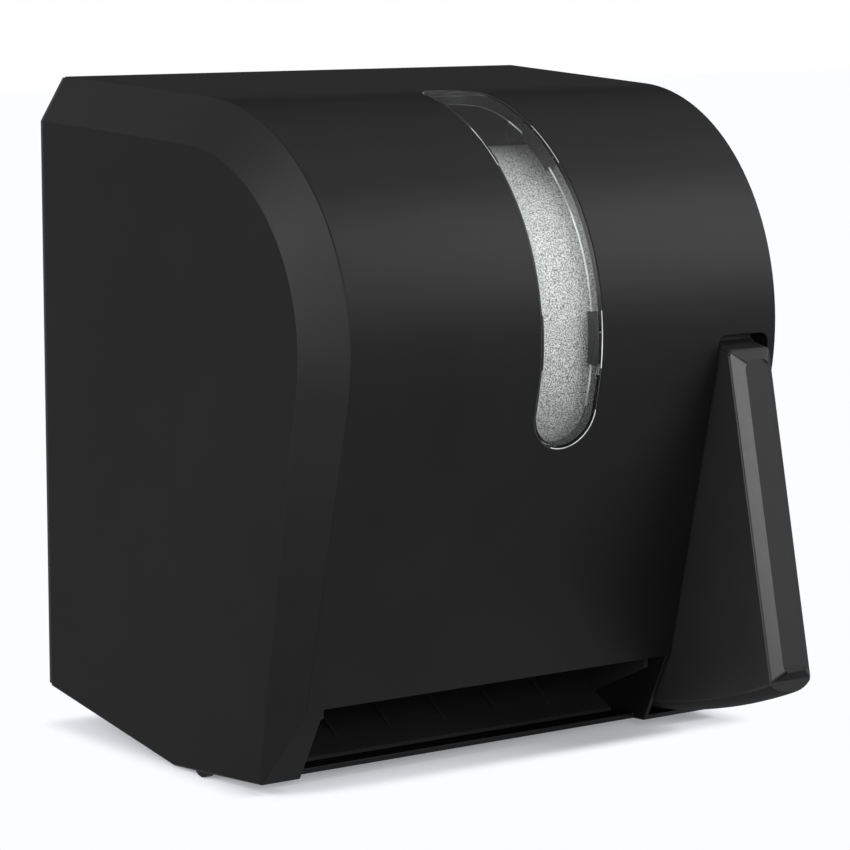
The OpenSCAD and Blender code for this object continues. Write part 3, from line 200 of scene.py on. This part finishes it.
def clear_polycarbonate(name):
    """Injection-moulded clear polycarbonate with a slight smoke tint.

    The roll shows through it by refraction. A thin even gloss gives its face a soft glare, and only edges
    seen almost along the surface turn brighter. Light passes on to the roll behind it.
    """
    made, tree, surface = material(name)
    body = add(tree, "ShaderNodeBsdfRefraction", Color=linear("#F1F2F2"), Roughness=0.0, IOR=1.49)
    gloss = add(tree, "ShaderNodeBsdfAnisotropic", Color=linear("#FFFFFF"), Roughness=0.35)
    facing = add(tree, "ShaderNodeLayerWeight", Blend=0.5)
    rim = add(tree, "ShaderNodeMath", {"operation": "POWER"}, _0=facing.outputs["Facing"], _1=GLARE_POWER)
    shine = add(tree, "ShaderNodeMapRange", Value=rim.outputs["Value"], To_Min=FACE_GLARE, To_Max=EDGE_GLARE)
    clear = add(tree, "ShaderNodeMixShader", Fac=shine.outputs["Result"], _1=body.outputs["BSDF"],
                _2=gloss.outputs["BSDF"])
    open_way = add(tree, "ShaderNodeBsdfTransparent", Color=linear("#F4F5F5"))
    path = add(tree, "ShaderNodeLightPath")
    mixed = add(tree, "ShaderNodeMixShader", Fac=path.outputs["Is Shadow Ray"], _1=clear.outputs["Shader"],
                _2=open_way.outputs["BSDF"])
    tree.links.new(mixed.outputs["Shader"], surface)
    return made


def painted_lens_edge(name, dark, light, rough):
    """Painted lens edge, glossy: a mottled grey to pale colour in place of the light polished edges catch."""
    made, tree, surface = material(name)
    place = add(tree, "ShaderNodeTexCoord").outputs["Object"]
    flow = add(tree, "ShaderNodeTexNoise", Vector=place, Scale=per_mm(25), Detail=2.0)
    shade = add(tree, "ShaderNodeMapRange", Value=flow.outputs["Fac"], From_Min=0.4, From_Max=0.62)
    colour = add(tree, "ShaderNodeMix", {"data_type": "RGBA"}, _0=shade.outputs["Result"], _6=linear(dark),
                 _7=linear(light)).outputs[2]
    shader = add(tree, "ShaderNodeBsdfPrincipled", Base_Color=colour, Roughness=rough, IOR=1.49)
    tree.links.new(shader.outputs["BSDF"], surface)
    return made


def towel_paper(name):
    """Creped white towel paper: matt, with a strong speckle of fibres and shallow creping.

    Real fibres are some hundredths of a millimetre across. They are drawn at 0.7 mm, as coarse as they need
    to be to show. Their colour runs from a painted shade between fibres to their grey, and on to the white of
    a raised one.
    """
    made, tree, surface = material(name)
    place = add(tree, "ShaderNodeTexCoord").outputs["Object"]
    fibres = add(tree, "ShaderNodeTexNoise", Vector=place, Scale=per_mm(0.7), Detail=2.0, Roughness=0.7)
    lower = add(tree, "ShaderNodeMapRange", Value=fibres.outputs["Fac"], From_Min=0.4, From_Max=0.5)
    upper = add(tree, "ShaderNodeMapRange", Value=fibres.outputs["Fac"], From_Min=0.5, From_Max=0.6)
    shaded = add(tree, "ShaderNodeMix", {"data_type": "RGBA"}, _0=lower.outputs["Result"],
                 _6=linear("#5C5C5B"), _7=linear("#C2C2C1")).outputs[2]
    colour = add(tree, "ShaderNodeMix", {"data_type": "RGBA"}, _0=upper.outputs["Result"], _6=shaded,
                 _7=linear("#FCFCFA")).outputs[2]
    bump = add(tree, "ShaderNodeBump", Height=fibres.outputs["Fac"], Strength=0.8, Distance=0.3 * MM)
    shader = add(tree, "ShaderNodeBsdfPrincipled", Base_Color=colour, Roughness=0.95, IOR=1.5,
                 Specular_IOR_Level=0.2, Normal=bump.outputs["Normal"])
    tree.links.new(shader.outputs["BSDF"], surface)
    return made


def drawn_metal(name, dark, light, rough):
    """Drawn or plated steel: metallic, with a faint mottling of its shine."""
    made, tree, surface = material(name)
    place = add(tree, "ShaderNodeTexCoord").outputs["Object"]
    grain = add(tree, "ShaderNodeTexNoise", Vector=place, Scale=per_mm(1.5), Detail=3.0)
    shade = add(tree, "ShaderNodeMapRange", Value=grain.outputs["Fac"], From_Min=0.35, From_Max=0.65)
    colour = add(tree, "ShaderNodeMix", {"data_type": "RGBA"}, _0=shade.outputs["Result"], _6=linear(dark),
                 _7=linear(light)).outputs[2]
    gloss = add(tree, "ShaderNodeMapRange", Value=grain.outputs["Fac"], From_Min=0.3, From_Max=0.7,
                To_Min=rough - 0.05, To_Max=rough + 0.05)
    shader = add(tree, "ShaderNodeBsdfPrincipled", Base_Color=colour, Metallic=1.0,
                 Roughness=gloss.outputs["Result"])
    tree.links.new(shader.outputs["BSDF"], surface)
    return made


# Ways that faces point: the cover's flat chamfers lie about half-way between its sides and its top, and the
# paddle's pad leans back a little
UP, DOWN = (0.0, 0.0, 1.0), (0.0, 0.0, -1.0)
LEFT, RIGHT = (-1.0, 0.0, 0.0), (1.0, 0.0, 0.0)
LEFT_CHAMFER, RIGHT_CHAMFER = (-0.707, 0.0, 0.707), (0.707, 0.0, 0.707)
PAD = (0.0, -0.9775, 0.211)

# Faces that point one way: a row is the way, the cosines between which a change sets in, and its amount.
# The pad's rows give it the rougher, duller finish of a grip. The cover's rows and the paddle's DOWN and
# RIGHT rows take away sheen as painted shade, darkening the cover's top, sides and chamfers and the
# paddle's underside and right side
COVER_PAINTED_SHADE = (
    (UP, 0.75, 0.98, 0.87),
    (LEFT, 0.9, 0.97, 0.4),
    (RIGHT, 0.9, 0.97, 0.4),
    (LEFT_CHAMFER, 0.93, 0.99, 0.35),
    (RIGHT_CHAMFER, 0.93, 0.99, 0.35),
)
PADDLE_MATT = ((PAD, 0.98, 0.995, 0.26),)
PADDLE_GRIP_AND_PAINTED_SHADE = (
    (PAD, 0.98, 0.995, 0.25),
    (DOWN, 0.1, 0.5, 0.9),
    (RIGHT, 0.3, 0.6, 0.85),
)

finishes = {
    # Cover: near-black and satin, with painted shade that takes sheen from its top, sides and chamfers
    "cover_abs": moulded_abs("moulded_black_abs_cover", "#0B0B0B", "#0E0E0E", rough=0.44, sheen=0.1,
                             grain_mm=0.7, grain_depth_mm=0.04, grip_and_painted_shade=COVER_PAINTED_SHADE),
    # Paddle: a shade lighter and shinier than the cover, with a matt pad, and painted shade
    # taking sheen from its underside and right side
    "paddle_abs": moulded_abs("moulded_black_abs_paddle", "#1D1D1D", "#202020", rough=0.32, sheen=0.18,
                              grain_mm=0.7, grain_depth_mm=0.04, matt=PADDLE_MATT, grip_and_painted_shade=PADDLE_GRIP_AND_PAINTED_SHADE),
    # Wall plate and chassis: from plainer tools, so duller than the cover
    "black_abs": moulded_abs("moulded_black_abs_plate", "#101010", "#131313", rough=0.55, sheen=0.2,
                             grain_mm=0.8, grain_depth_mm=0.05),
    "chassis_plastic": plain_moulding("moulded_chassis_plastic", "#111111", "#151515", rough=0.65,
                                      sheen=0.15),
    # Lens and roll: clear with a soft glare, and white with a speckle
    "clear_lens": clear_polycarbonate("clear_polycarbonate"),
    "towel_paper": towel_paper("creped_towel_paper"),
    # Core, rollers and gears: brown board, dark matt rubber and milky white acetal
    "core_board": plain_moulding("wound_kraft_board", "#8A7355", "#A08A69", rough=0.9),
    "grip_rubber": plain_moulding("moulded_grip_rubber", "#3A3A3B", "#444445", rough=0.8),
    "pinch_rubber": plain_moulding("moulded_pinch_rubber", "#3A3A3B", "#444445", rough=0.8),
    "acetal": plain_moulding("natural_acetal", "#D8D8D2", "#E2E2DC", rough=0.45),
    # Metals: grey and satin, the spring wire darker, and the lock's face bright
    "stainless_steel": drawn_metal("brushed_stainless_steel", "#A6A7A9", "#B9BABC", rough=0.32),
    "zinc_steel": drawn_metal("zinc_plated_steel", "#A2A4AA", "#B4B6BB", rough=0.35),
    "spring_steel": drawn_metal("drawn_spring_wire", "#77787B", "#8A8B8E", rough=0.3),
    "lock_chrome": drawn_metal("chromed_lock", "#C4C5C8", "#D2D3D6", rough=0.12),
}
for node, entry in subparts.items():
    nodes[node].data.materials.clear()
    nodes[node].data.materials.append(finishes[entry["material_slot"]])


# --- Moulded pieces: the cover, the paddle and the lens with their edges rounded ---


def dressed(piece, node):
    """Put a new piece in the scene in place of a CAD node, on that node's body and with its finish."""
    bpy.context.scene.collection.objects.link(piece)
    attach(piece, body_of(nodes[node])[0])
    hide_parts(node)
    return piece


# Corners closer than a double are one, a step lower than a hair is none, and an edge shorter than a sliver is
# a point. A face counts as large from a square centimetre, and as flat with its neighbour within 0.3 degrees
DOUBLE, HAIR, SLIVER = 0.001 * MM, 0.05 * MM, 0.04 * MM
LARGE_FACE = 100 * MM * MM
FLAT = math.radians(0.3)


def merged(node):
    """A copy of a CAD node's mesh, and its shape with doubles merged and flat areas joined.

    A corner within a hair of the plane of a large face is first dropped on to that plane, by its distance
    times the plane's normal, so that a flat area shades as one.
    """
    mesh = nodes[node].data.copy()
    shape = bmesh.new()
    shape.from_mesh(mesh)
    bmesh.ops.remove_doubles(shape, verts=shape.verts, dist=DOUBLE)
    bmesh.ops.dissolve_limit(shape, angle_limit=FLAT, verts=shape.verts, edges=shape.edges)
    large = [face for face in shape.faces if face.calc_area() >= LARGE_FACE]
    large.sort(key=lambda face: -face.calc_area())
    planes = [(np.array(face.normal), np.array(face.verts[0].co)) for face in large]
    shape.to_mesh(mesh)
    corners = corners_of(mesh)
    for normal, on_plane in planes:
        height = (corners - on_plane) @ normal
        corners -= np.where(np.abs(height) < HAIR, height, 0.0)[:, None] * normal
    for vertex, corner in zip(shape.verts, corners):
        vertex.co = corner
    bmesh.ops.remove_doubles(shape, verts=shape.verts, dist=SLIVER)
    bmesh.ops.dissolve_degenerate(shape, edges=shape.edges, dist=SLIVER)
    bmesh.ops.dissolve_limit(shape, angle_limit=FLAT, verts=shape.verts, edges=shape.edges)
    return mesh, shape


# Edges sharper than this are rounded, by up to this share of the narrower face beside them, and those that
# keep more than this part of the radius shade smoothly
ROUNDED_FROM = math.radians(20)
NARROW_SHARE = 0.45
SMOOTH_FROM = 0.2


def moulded_copy(node, radius_mm, segments=3):
    """A copy of a CAD node with its edges rounded as moulding leaves them.

    A sharp edge is rounded by radius_mm, or by less where a face beside it is narrow: then by NARROW_SHARE
    times that face's area over the edge's length.
    """
    mesh, shape = merged(node)
    share = shape.edges.layers.float.new("bevel_weight_edge")
    for edge in shape.edges:
        if len(edge.link_faces) == 2 and edge.calc_face_angle() > ROUNDED_FROM:
            narrow = min(face.calc_area() for face in edge.link_faces) / max(edge.calc_length(), 1e-6)
            edge[share] = min(1.0, NARROW_SHARE * narrow / (radius_mm * MM))
            edge.smooth = edge[share] > SMOOTH_FROM
    for face in shape.faces:
        face.smooth = True
    shape.to_mesh(mesh)
    shape.free()
    piece = bpy.data.objects.new(node + "_moulded", mesh)
    rounding = piece.modifiers.new("moulded edges", "BEVEL")
    rounding.width = radius_mm * MM
    rounding.segments = segments
    rounding.limit_method = "WEIGHT"
    rounding.use_clamp_overlap = False
    rounding.loop_slide = False
    evened = piece.modifiers.new("even normals", "WEIGHTED_NORMAL")
    evened.weight = 90
    evened.keep_sharp = True
    return dressed(piece, node)


# A corner is on the brow within this distance of its radius, on a face within this angle of the way outwards
BROW_NEAR = 0.4 * MM
BROW_FACING = math.cos(math.radians(4))


def round_brow(piece):
    """Shade the brow as one round face: a corner's normal there is its own way out from the brow's axis."""
    graph = bpy.context.evaluated_depsgraph_get()
    mesh = bpy.data.meshes.new_from_object(piece.evaluated_get(graph))
    piece.modifiers.clear()
    piece.data = mesh
    at, normals = np.empty(len(mesh.loops), int), np.empty(3 * len(mesh.loops))
    mesh.loops.foreach_get("vertex_index", at)
    mesh.corner_normals.foreach_get("vector", normals)
    sizes, faces = np.empty(len(mesh.polygons), int), np.empty(3 * len(mesh.polygons))
    mesh.polygons.foreach_get("loop_total", sizes)
    mesh.polygons.foreach_get("normal", faces)
    outwards = corners_of(mesh)[at] - (0.0, AXIS_Y, AXIS_Z)
    outwards[:, 0] = 0.0
    radius = np.linalg.norm(outwards, axis=1)
    outwards /= radius[:, None]
    facing = (np.repeat(faces.reshape(-1, 3), sizes, axis=0) * outwards).sum(1)
    on_brow = (np.abs(radius - BROW_RADIUS) < BROW_NEAR) & (facing > BROW_FACING)
    mesh.normals_split_custom_set(np.where(on_brow[:, None], outwards, normals.reshape(-1, 3)).tolist())


round_brow(moulded_copy("front_cover", 0.5))
moulded_copy("paddle", 1.0)
moulded_copy("window_lens", 0.35, segments=2)


# --- Small pieces by the lens ---


def outward_mesh(name, points, faces, finish, crease_deg=None):
    """A closed mesh from points and faces, with its faces turned outwards.

    With crease_deg it shades as one round face, apart from edges sharper than that.
    """
    mesh = bpy.data.meshes.new(name)
    mesh.from_pydata(points.reshape(-1, 3).tolist(), [], faces)
    shape = bmesh.new()
    shape.from_mesh(mesh)
    bmesh.ops.recalc_face_normals(shape, faces=shape.faces)
    if crease_deg:
        for edge in shape.edges:
            edge.smooth = edge.calc_face_angle() < math.radians(crease_deg)
        for face in shape.faces:
            face.smooth = True
    shape.to_mesh(mesh)
    shape.free()
    mesh.materials.append(finish)
    return mesh


def on_cover(mesh):
    """Put an extra piece in the scene, on the cover's body."""
    piece = bpy.data.objects.new(mesh.name, mesh)
    bpy.context.scene.collection.objects.link(piece)
    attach(piece, body_of(nodes["front_cover"])[0])


BEAD_SIDES = 6
BEADED_FROM = math.radians(50)


def edge_beads(name, radius_mm, depths_mm, spans, within, finish):
    """Beads just inside the lens's outward edges, painted as the lines and glints of light they show.

    Each is a prism along its edge: both ends plus radius times (cos k u + sin k v), with u and v square to
    the edge, and the whole prism set in from the edge by its radius along the mean normal of the two faces.
    Edges whose depth below the brow lies between the two depths get one: those in a span if within is True,
    and the others if not. A span is two angles about the brow's axis, in degrees, and the least x in
    millimetres.
    """
    copy, shape = merged("window_lens")
    sharp = []
    for edge in shape.edges:
        middle = (edge.verts[0].co + edge.verts[1].co) / 2
        depth = BROW_RADIUS - math.hypot(middle.y - AXIS_Y, middle.z - AXIS_Z)
        angle = math.degrees(math.atan2(middle.z - AXIS_Z, middle.y - AXIS_Y)) % 360
        spanned = any(a <= angle < b and middle.x >= least * MM for a, b, least in spans)
        chosen = depths_mm[0] * MM < depth < depths_mm[1] * MM and spanned == within
        if chosen and edge.is_convex and edge.calc_face_angle() > BEADED_FROM:
            sharp.append(edge)
    ends = np.array([(edge.verts[0].co, edge.verts[1].co) for edge in sharp])
    inward = -np.array([edge.link_faces[0].normal + edge.link_faces[1].normal for edge in sharp])
    shape.free()
    bpy.data.meshes.remove(copy)
    radius = radius_mm * MM
    inward /= np.linalg.norm(inward, axis=1, keepdims=True)
    along = ends[:, 1] - ends[:, 0]
    along /= np.linalg.norm(along, axis=1, keepdims=True)
    across = np.cross(along, inward)
    turn = 2 * np.pi * np.arange(BEAD_SIDES) / BEAD_SIDES
    ring = radius * (np.cos(turn)[:, None] * inward[:, None] + np.sin(turn)[:, None] * across[:, None])
    points = (ends + radius * inward[:, None])[:, :, None] + ring[:, None]
    base = (2 * BEAD_SIDES * np.arange(len(ends)))[:, None]
    first = base + np.arange(BEAD_SIDES)
    after = base + (np.arange(BEAD_SIDES) + 1) % BEAD_SIDES
    walls = np.stack([first, after, after + BEAD_SIDES, first + BEAD_SIDES], axis=-1).reshape(-1, 4)
    caps = np.concatenate([first[:, ::-1], first + BEAD_SIDES])
    on_cover(outward_mesh(name, points, walls.tolist() + caps.tolist(), finish))


# Catches: the middles of the upper and the lower pair and half a catch's length, in degrees about the brow's
# axis, and the steps along it. In millimetres, the x of its outer and its inner wall's faces, the depth below
# the brow at which each wall starts, and the depths of the bottom's two faces
CATCH_MIDDLES, CATCH_HALF, CATCH_STEPS = (126.2, 180.0), 6.7, 13
CATCH_OUTER, CATCH_INNER = (22.0, 23.0), (17.15, 17.95)
CATCH_OUTER_TOP, CATCH_INNER_TOP = 2.9, 2.3
CATCH_BOTTOM = (8.7, 10.0)


def lens_catches():
    """The cover's catches for the lens: a U round the skirt's rear edge, carried along the brow's arc.

    A point of the U is (x, depth below the brow) in millimetres, and its place is (x, y0 + r cos a,
    z0 + r sin a) with r the brow's radius less that depth.
    """
    u_shape = np.array([
        (CATCH_OUTER[1], CATCH_OUTER_TOP), (CATCH_OUTER[1], CATCH_BOTTOM[1]),
        (CATCH_INNER[0], CATCH_BOTTOM[1]), (CATCH_INNER[0], CATCH_INNER_TOP),
        (CATCH_INNER[1], CATCH_INNER_TOP), (CATCH_INNER[1], CATCH_BOTTOM[0]),
        (CATCH_OUTER[0], CATCH_BOTTOM[0]), (CATCH_OUTER[0], CATCH_OUTER_TOP),
    ])
    side = np.array([-1.0, 1.0])[:, None, None, None]
    sweep = np.linspace(-CATCH_HALF, CATCH_HALF, CATCH_STEPS)
    angle = np.radians(np.array(CATCH_MIDDLES)[:, None] + sweep)[None, :, :, None]
    r = BROW_RADIUS - u_shape[:, 1] * MM
    y, z = AXIS_Y + r * np.cos(angle), AXIS_Z + r * np.sin(angle)
    points = np.stack(np.broadcast_arrays(side * u_shape[:, 0] * MM, y, z), axis=-1)
    n = len(u_shape)
    catches = points.shape[0] * points.shape[1]
    base = (np.arange(catches) * CATCH_STEPS * n)[:, None, None]
    row, col = np.arange(CATCH_STEPS - 1)[:, None], np.arange(n)
    corner = base + row * n + col
    beside = base + row * n + (col + 1) % n
    walls = np.stack([corner, beside, beside + n, corner + n], axis=-1).reshape(-1, 4)
    caps = np.concatenate([base[:, 0] + col, base[:, 0] + (CATCH_STEPS - 1) * n + col])
    mesh = outward_mesh("lens_catches", points, walls.tolist() + caps.tolist(), finishes["cover_abs"])
    on_cover(mesh)


# Painted highlights: the lens's edge beads are painted as glints at its catches, low down and along its rear
# edge, and as dim lines elsewhere
painted_dim_edge_line = painted_lens_edge("painted_dim_lens_edge", "#2E2F2F", "#4A4B4B", rough=0.15)
painted_edge_glint = painted_lens_edge("painted_glint_lens_edge", "#A4A6A6", "#F2F4F4", rough=0.3)
FRONT_DEPTHS, REAR_DEPTHS = (-5.0, 1.5), (4.5, 40.0)
FRONT_GLINTS = ((119.5, 132.9, -30.0), (173.3, 186.7, 0.0), (196.0, 270.0, -6.0))
REAR_GLINTS = ((113.0, 196.0, -30.0),)
# Dim painted edge lines and painted glints, on the lens's front and rear edges
edge_beads("lens_front_beads", 0.2, FRONT_DEPTHS, FRONT_GLINTS, False, painted_dim_edge_line)
edge_beads("lens_front_glints", 0.3, FRONT_DEPTHS, FRONT_GLINTS, True, painted_edge_glint)
edge_beads("lens_rear_beads", 0.3, REAR_DEPTHS, REAR_GLINTS, False, painted_dim_edge_line)
edge_beads("lens_rear_glints", 0.3, REAR_DEPTHS, REAR_GLINTS, True, painted_edge_glint)
lens_catches()


# --- Towel roll ---

# Points round the roll and across it, the step where its last lap ends, and the width of a band of laps
ROLL_TURNS, ROLL_RINGS = 240, 46
LAP_STEP, LAP_BAND = 0.35 * MM, 3.1 * MM
# How far the ends wander: the unit, its mean, and each sine's rate, phase and size
WANDER, WANDER_MEAN = 0.25 * MM, 1.4
WANDER_SINES = ((1.0, 0.0, 0.5), (2.7, 1.0, 0.4), (0.37, 2.0, 0.5))
ROLL_CREASE_DEG = 35


def wound_roll():
    """Towel roll: a ring turned about the roll's own axis, whose ends show the winding.

    Its outside shrinks evenly by one lap's step in a turn, so the last lap ends in a lip. Its ends wander in
    and out by a sum of three sines of the radius, shifted with the angle so that they spiral like the laps,
    and fading out at the core and the outside.
    """
    inner = np.hypot(roll_corners[:, 1] - AXIS_Y, roll_corners[:, 2] - AXIS_Z).min()
    angle = np.linspace(0, 2 * np.pi, ROLL_TURNS, endpoint=False)
    share = np.linspace(0, 1, ROLL_RINGS)
    outside = ROLL_RADIUS - LAP_STEP * angle / (2 * np.pi)
    radius = inner + (outside[:, None] - inner) * share
    lap = 2 * np.pi * radius / LAP_BAND - angle[:, None]
    wave = sum((size * np.sin(rate * lap + phase) for rate, phase, size in WANDER_SINES), WANDER_MEAN)
    wander = WANDER * wave * np.sin(np.pi * share) ** 0.5
    x = np.hstack([roll_low[0] + wander, (roll_high[0] - wander)[:, ::-1]])
    r = np.hstack([radius, radius[:, ::-1]])
    y, z = AXIS_Y + r * np.cos(angle)[:, None], AXIS_Z + r * np.sin(angle)[:, None]
    around, along = x.shape
    i, j = np.meshgrid(np.arange(around), np.arange(along), indexing="ij")
    after, up = (i + 1) % around, (j + 1) % along
    quads = np.stack([i * along + j, after * along + j, after * along + up, i * along + up], axis=-1)
    mesh = outward_mesh("towel_roll_wound", np.stack([x, y, z], axis=-1), quads.reshape(-1, 4).tolist(),
                        finishes["towel_paper"], ROLL_CREASE_DEG)
    dressed(bpy.data.objects.new("towel_roll_wound", mesh), "towel_roll")


wound_roll()


# --- Studio ---


def shown_as_background(tree):
    """1 for the rays that show the background: from the camera, off a shiny face or through a clear piece."""
    path = add(tree, "ShaderNodeLightPath")
    direct = add(tree, "ShaderNodeMath", {"operation": "ADD"}, _0=path.outputs["Is Camera Ray"],
                 _1=path.outputs["Is Glossy Ray"])
    return add(tree, "ShaderNodeMath", {"operation": "ADD", "use_clamp": True}, _0=direct.outputs["Value"],
               _1=path.outputs["Is Transmission Ray"]).outputs["Value"]


# The floor lies just under the lowest knuckle. Its glow is least on a rectangle under the object, given by
# its middle and half its sides, and full from GLOW_EDGE beyond that
FLOOR_SIZE, FLOOR_GAP = 14, 0.3 * MM
SHADED_MIDDLE, SHADED_HALF = (0.0, -0.1, 0.0), (0.15, 0.1, 0.0)
GLOW_EDGE, GLOW_LEAST = 20 * MM, 0.25


def studio_floor():
    """Matt white floor with a white glow mixed in: white all round, and grey where the object shades it.

    The glow's share grows with the distance from the rectangle: the length of max(|p - middle| - half, 0).
    """
    bpy.ops.mesh.primitive_plane_add(size=FLOOR_SIZE, location=(0, 0, cad_box[0][2] - FLOOR_GAP))
    floor = bpy.context.object
    floor.name = "studio_floor"
    paint, tree, surface = material("studio_floor_white")
    place = add(tree, "ShaderNodeTexCoord").outputs["Object"]
    offset = add(tree, "ShaderNodeVectorMath", {"operation": "SUBTRACT"}, _0=place, _1=SHADED_MIDDLE)
    across = add(tree, "ShaderNodeVectorMath", {"operation": "ABSOLUTE"}, _0=offset.outputs["Vector"])
    beyond = add(tree, "ShaderNodeVectorMath", {"operation": "SUBTRACT"}, _0=across.outputs["Vector"],
                 _1=SHADED_HALF)
    outside = add(tree, "ShaderNodeVectorMath", {"operation": "MAXIMUM"}, _0=beyond.outputs["Vector"],
                  _1=(0.0, 0.0, 0.0))
    away = add(tree, "ShaderNodeVectorMath", {"operation": "LENGTH"}, _0=outside.outputs["Vector"])
    glow_share = add(tree, "ShaderNodeMapRange", {"interpolation_type": "SMOOTHSTEP"},
                     Value=away.outputs["Value"], From_Max=GLOW_EDGE, To_Min=GLOW_LEAST)
    share = add(tree, "ShaderNodeMath", {"operation": "MULTIPLY"}, _0=shown_as_background(tree),
                _1=glow_share.outputs["Result"])
    matt = add(tree, "ShaderNodeBsdfDiffuse", Color=linear("#EEF1F8"))
    glow = add(tree, "ShaderNodeEmission", Color=linear("#FCFDFF"), Strength=1.0)
    mixed = add(tree, "ShaderNodeMixShader", Fac=share.outputs["Value"], _1=matt.outputs["BSDF"],
                _2=glow.outputs["Emission"])
    tree.links.new(mixed.outputs["Shader"], surface)
    floor.data.materials.append(paint)


def studio_world(fill=0.35):
    """White all round where it is seen, and a weaker white fill where it lights the object."""
    world = bpy.data.worlds.new("studio")
    bpy.context.scene.world = world
    world.use_nodes = True
    tree = world.node_tree
    tree.nodes.clear()
    sky = add(tree, "ShaderNodeBackground", Color=linear("#FFFFFF"), Strength=fill)
    backdrop = add(tree, "ShaderNodeBackground", Color=linear("#FFFFFF"), Strength=1.0)
    mixed = add(tree, "ShaderNodeMixShader", Fac=shown_as_background(tree), _1=sky.outputs["Background"],
                _2=backdrop.outputs["Background"])
    add(tree, "ShaderNodeOutputWorld", Surface=mixed.outputs["Shader"])


def softbox(name, place, size, power):
    """A rectangular studio light at place, facing the object's middle."""
    lamp = bpy.data.lights.new(name, "AREA")
    lamp.shape = "RECTANGLE"
    lamp.size, lamp.size_y = size
    lamp.energy = power
    made = bpy.data.objects.new(name, lamp)
    bpy.context.scene.collection.objects.link(made)
    made.location = place
    made.rotation_euler = (MIDDLE - Vector(place)).to_track_quat("-Z", "Y").to_euler()


MIDDLE = Vector((0.0, -0.15, 0.0))
studio_floor()
studio_world()
softbox("key_front", (-1.02, -2.18, 0.52), (0.6, 0.6), 28)
softbox("high_left", (-1.52, -0.12, 0.42), (0.7, 1.2), 26)
softbox("right_front", (1.06, -1.15, 0.86), (0.9, 1.25), 22)

# Camera of the photograph: its place, its turn about Z, its tilt and its lens on a square 36 mm sensor
CAMERA_PLACE = Vector((-1.0470, -1.5932, 0.2378))
CAMERA_YAW = math.radians(35.52)
CAMERA_PITCH = math.radians(8.18)
CAMERA_LENS = 141.84
SENSOR = 36.0
CLIP_END = 50

lens = bpy.data.cameras.new("photo_camera")
lens.sensor_width = SENSOR
lens.lens = CAMERA_LENS
lens.clip_end = CLIP_END
camera = bpy.data.objects.new("photo_camera", lens)
bpy.context.scene.collection.objects.link(camera)
camera.location = CAMERA_PLACE
look = Vector((math.sin(CAMERA_YAW) * math.cos(CAMERA_PITCH), math.cos(CAMERA_YAW) * math.cos(CAMERA_PITCH),
               -math.sin(CAMERA_PITCH)))
camera.rotation_euler = look.to_track_quat("-Z", "Y").to_euler()
bpy.context.scene.camera = camera
bpy.context.scene.view_settings.view_transform = "Standard"
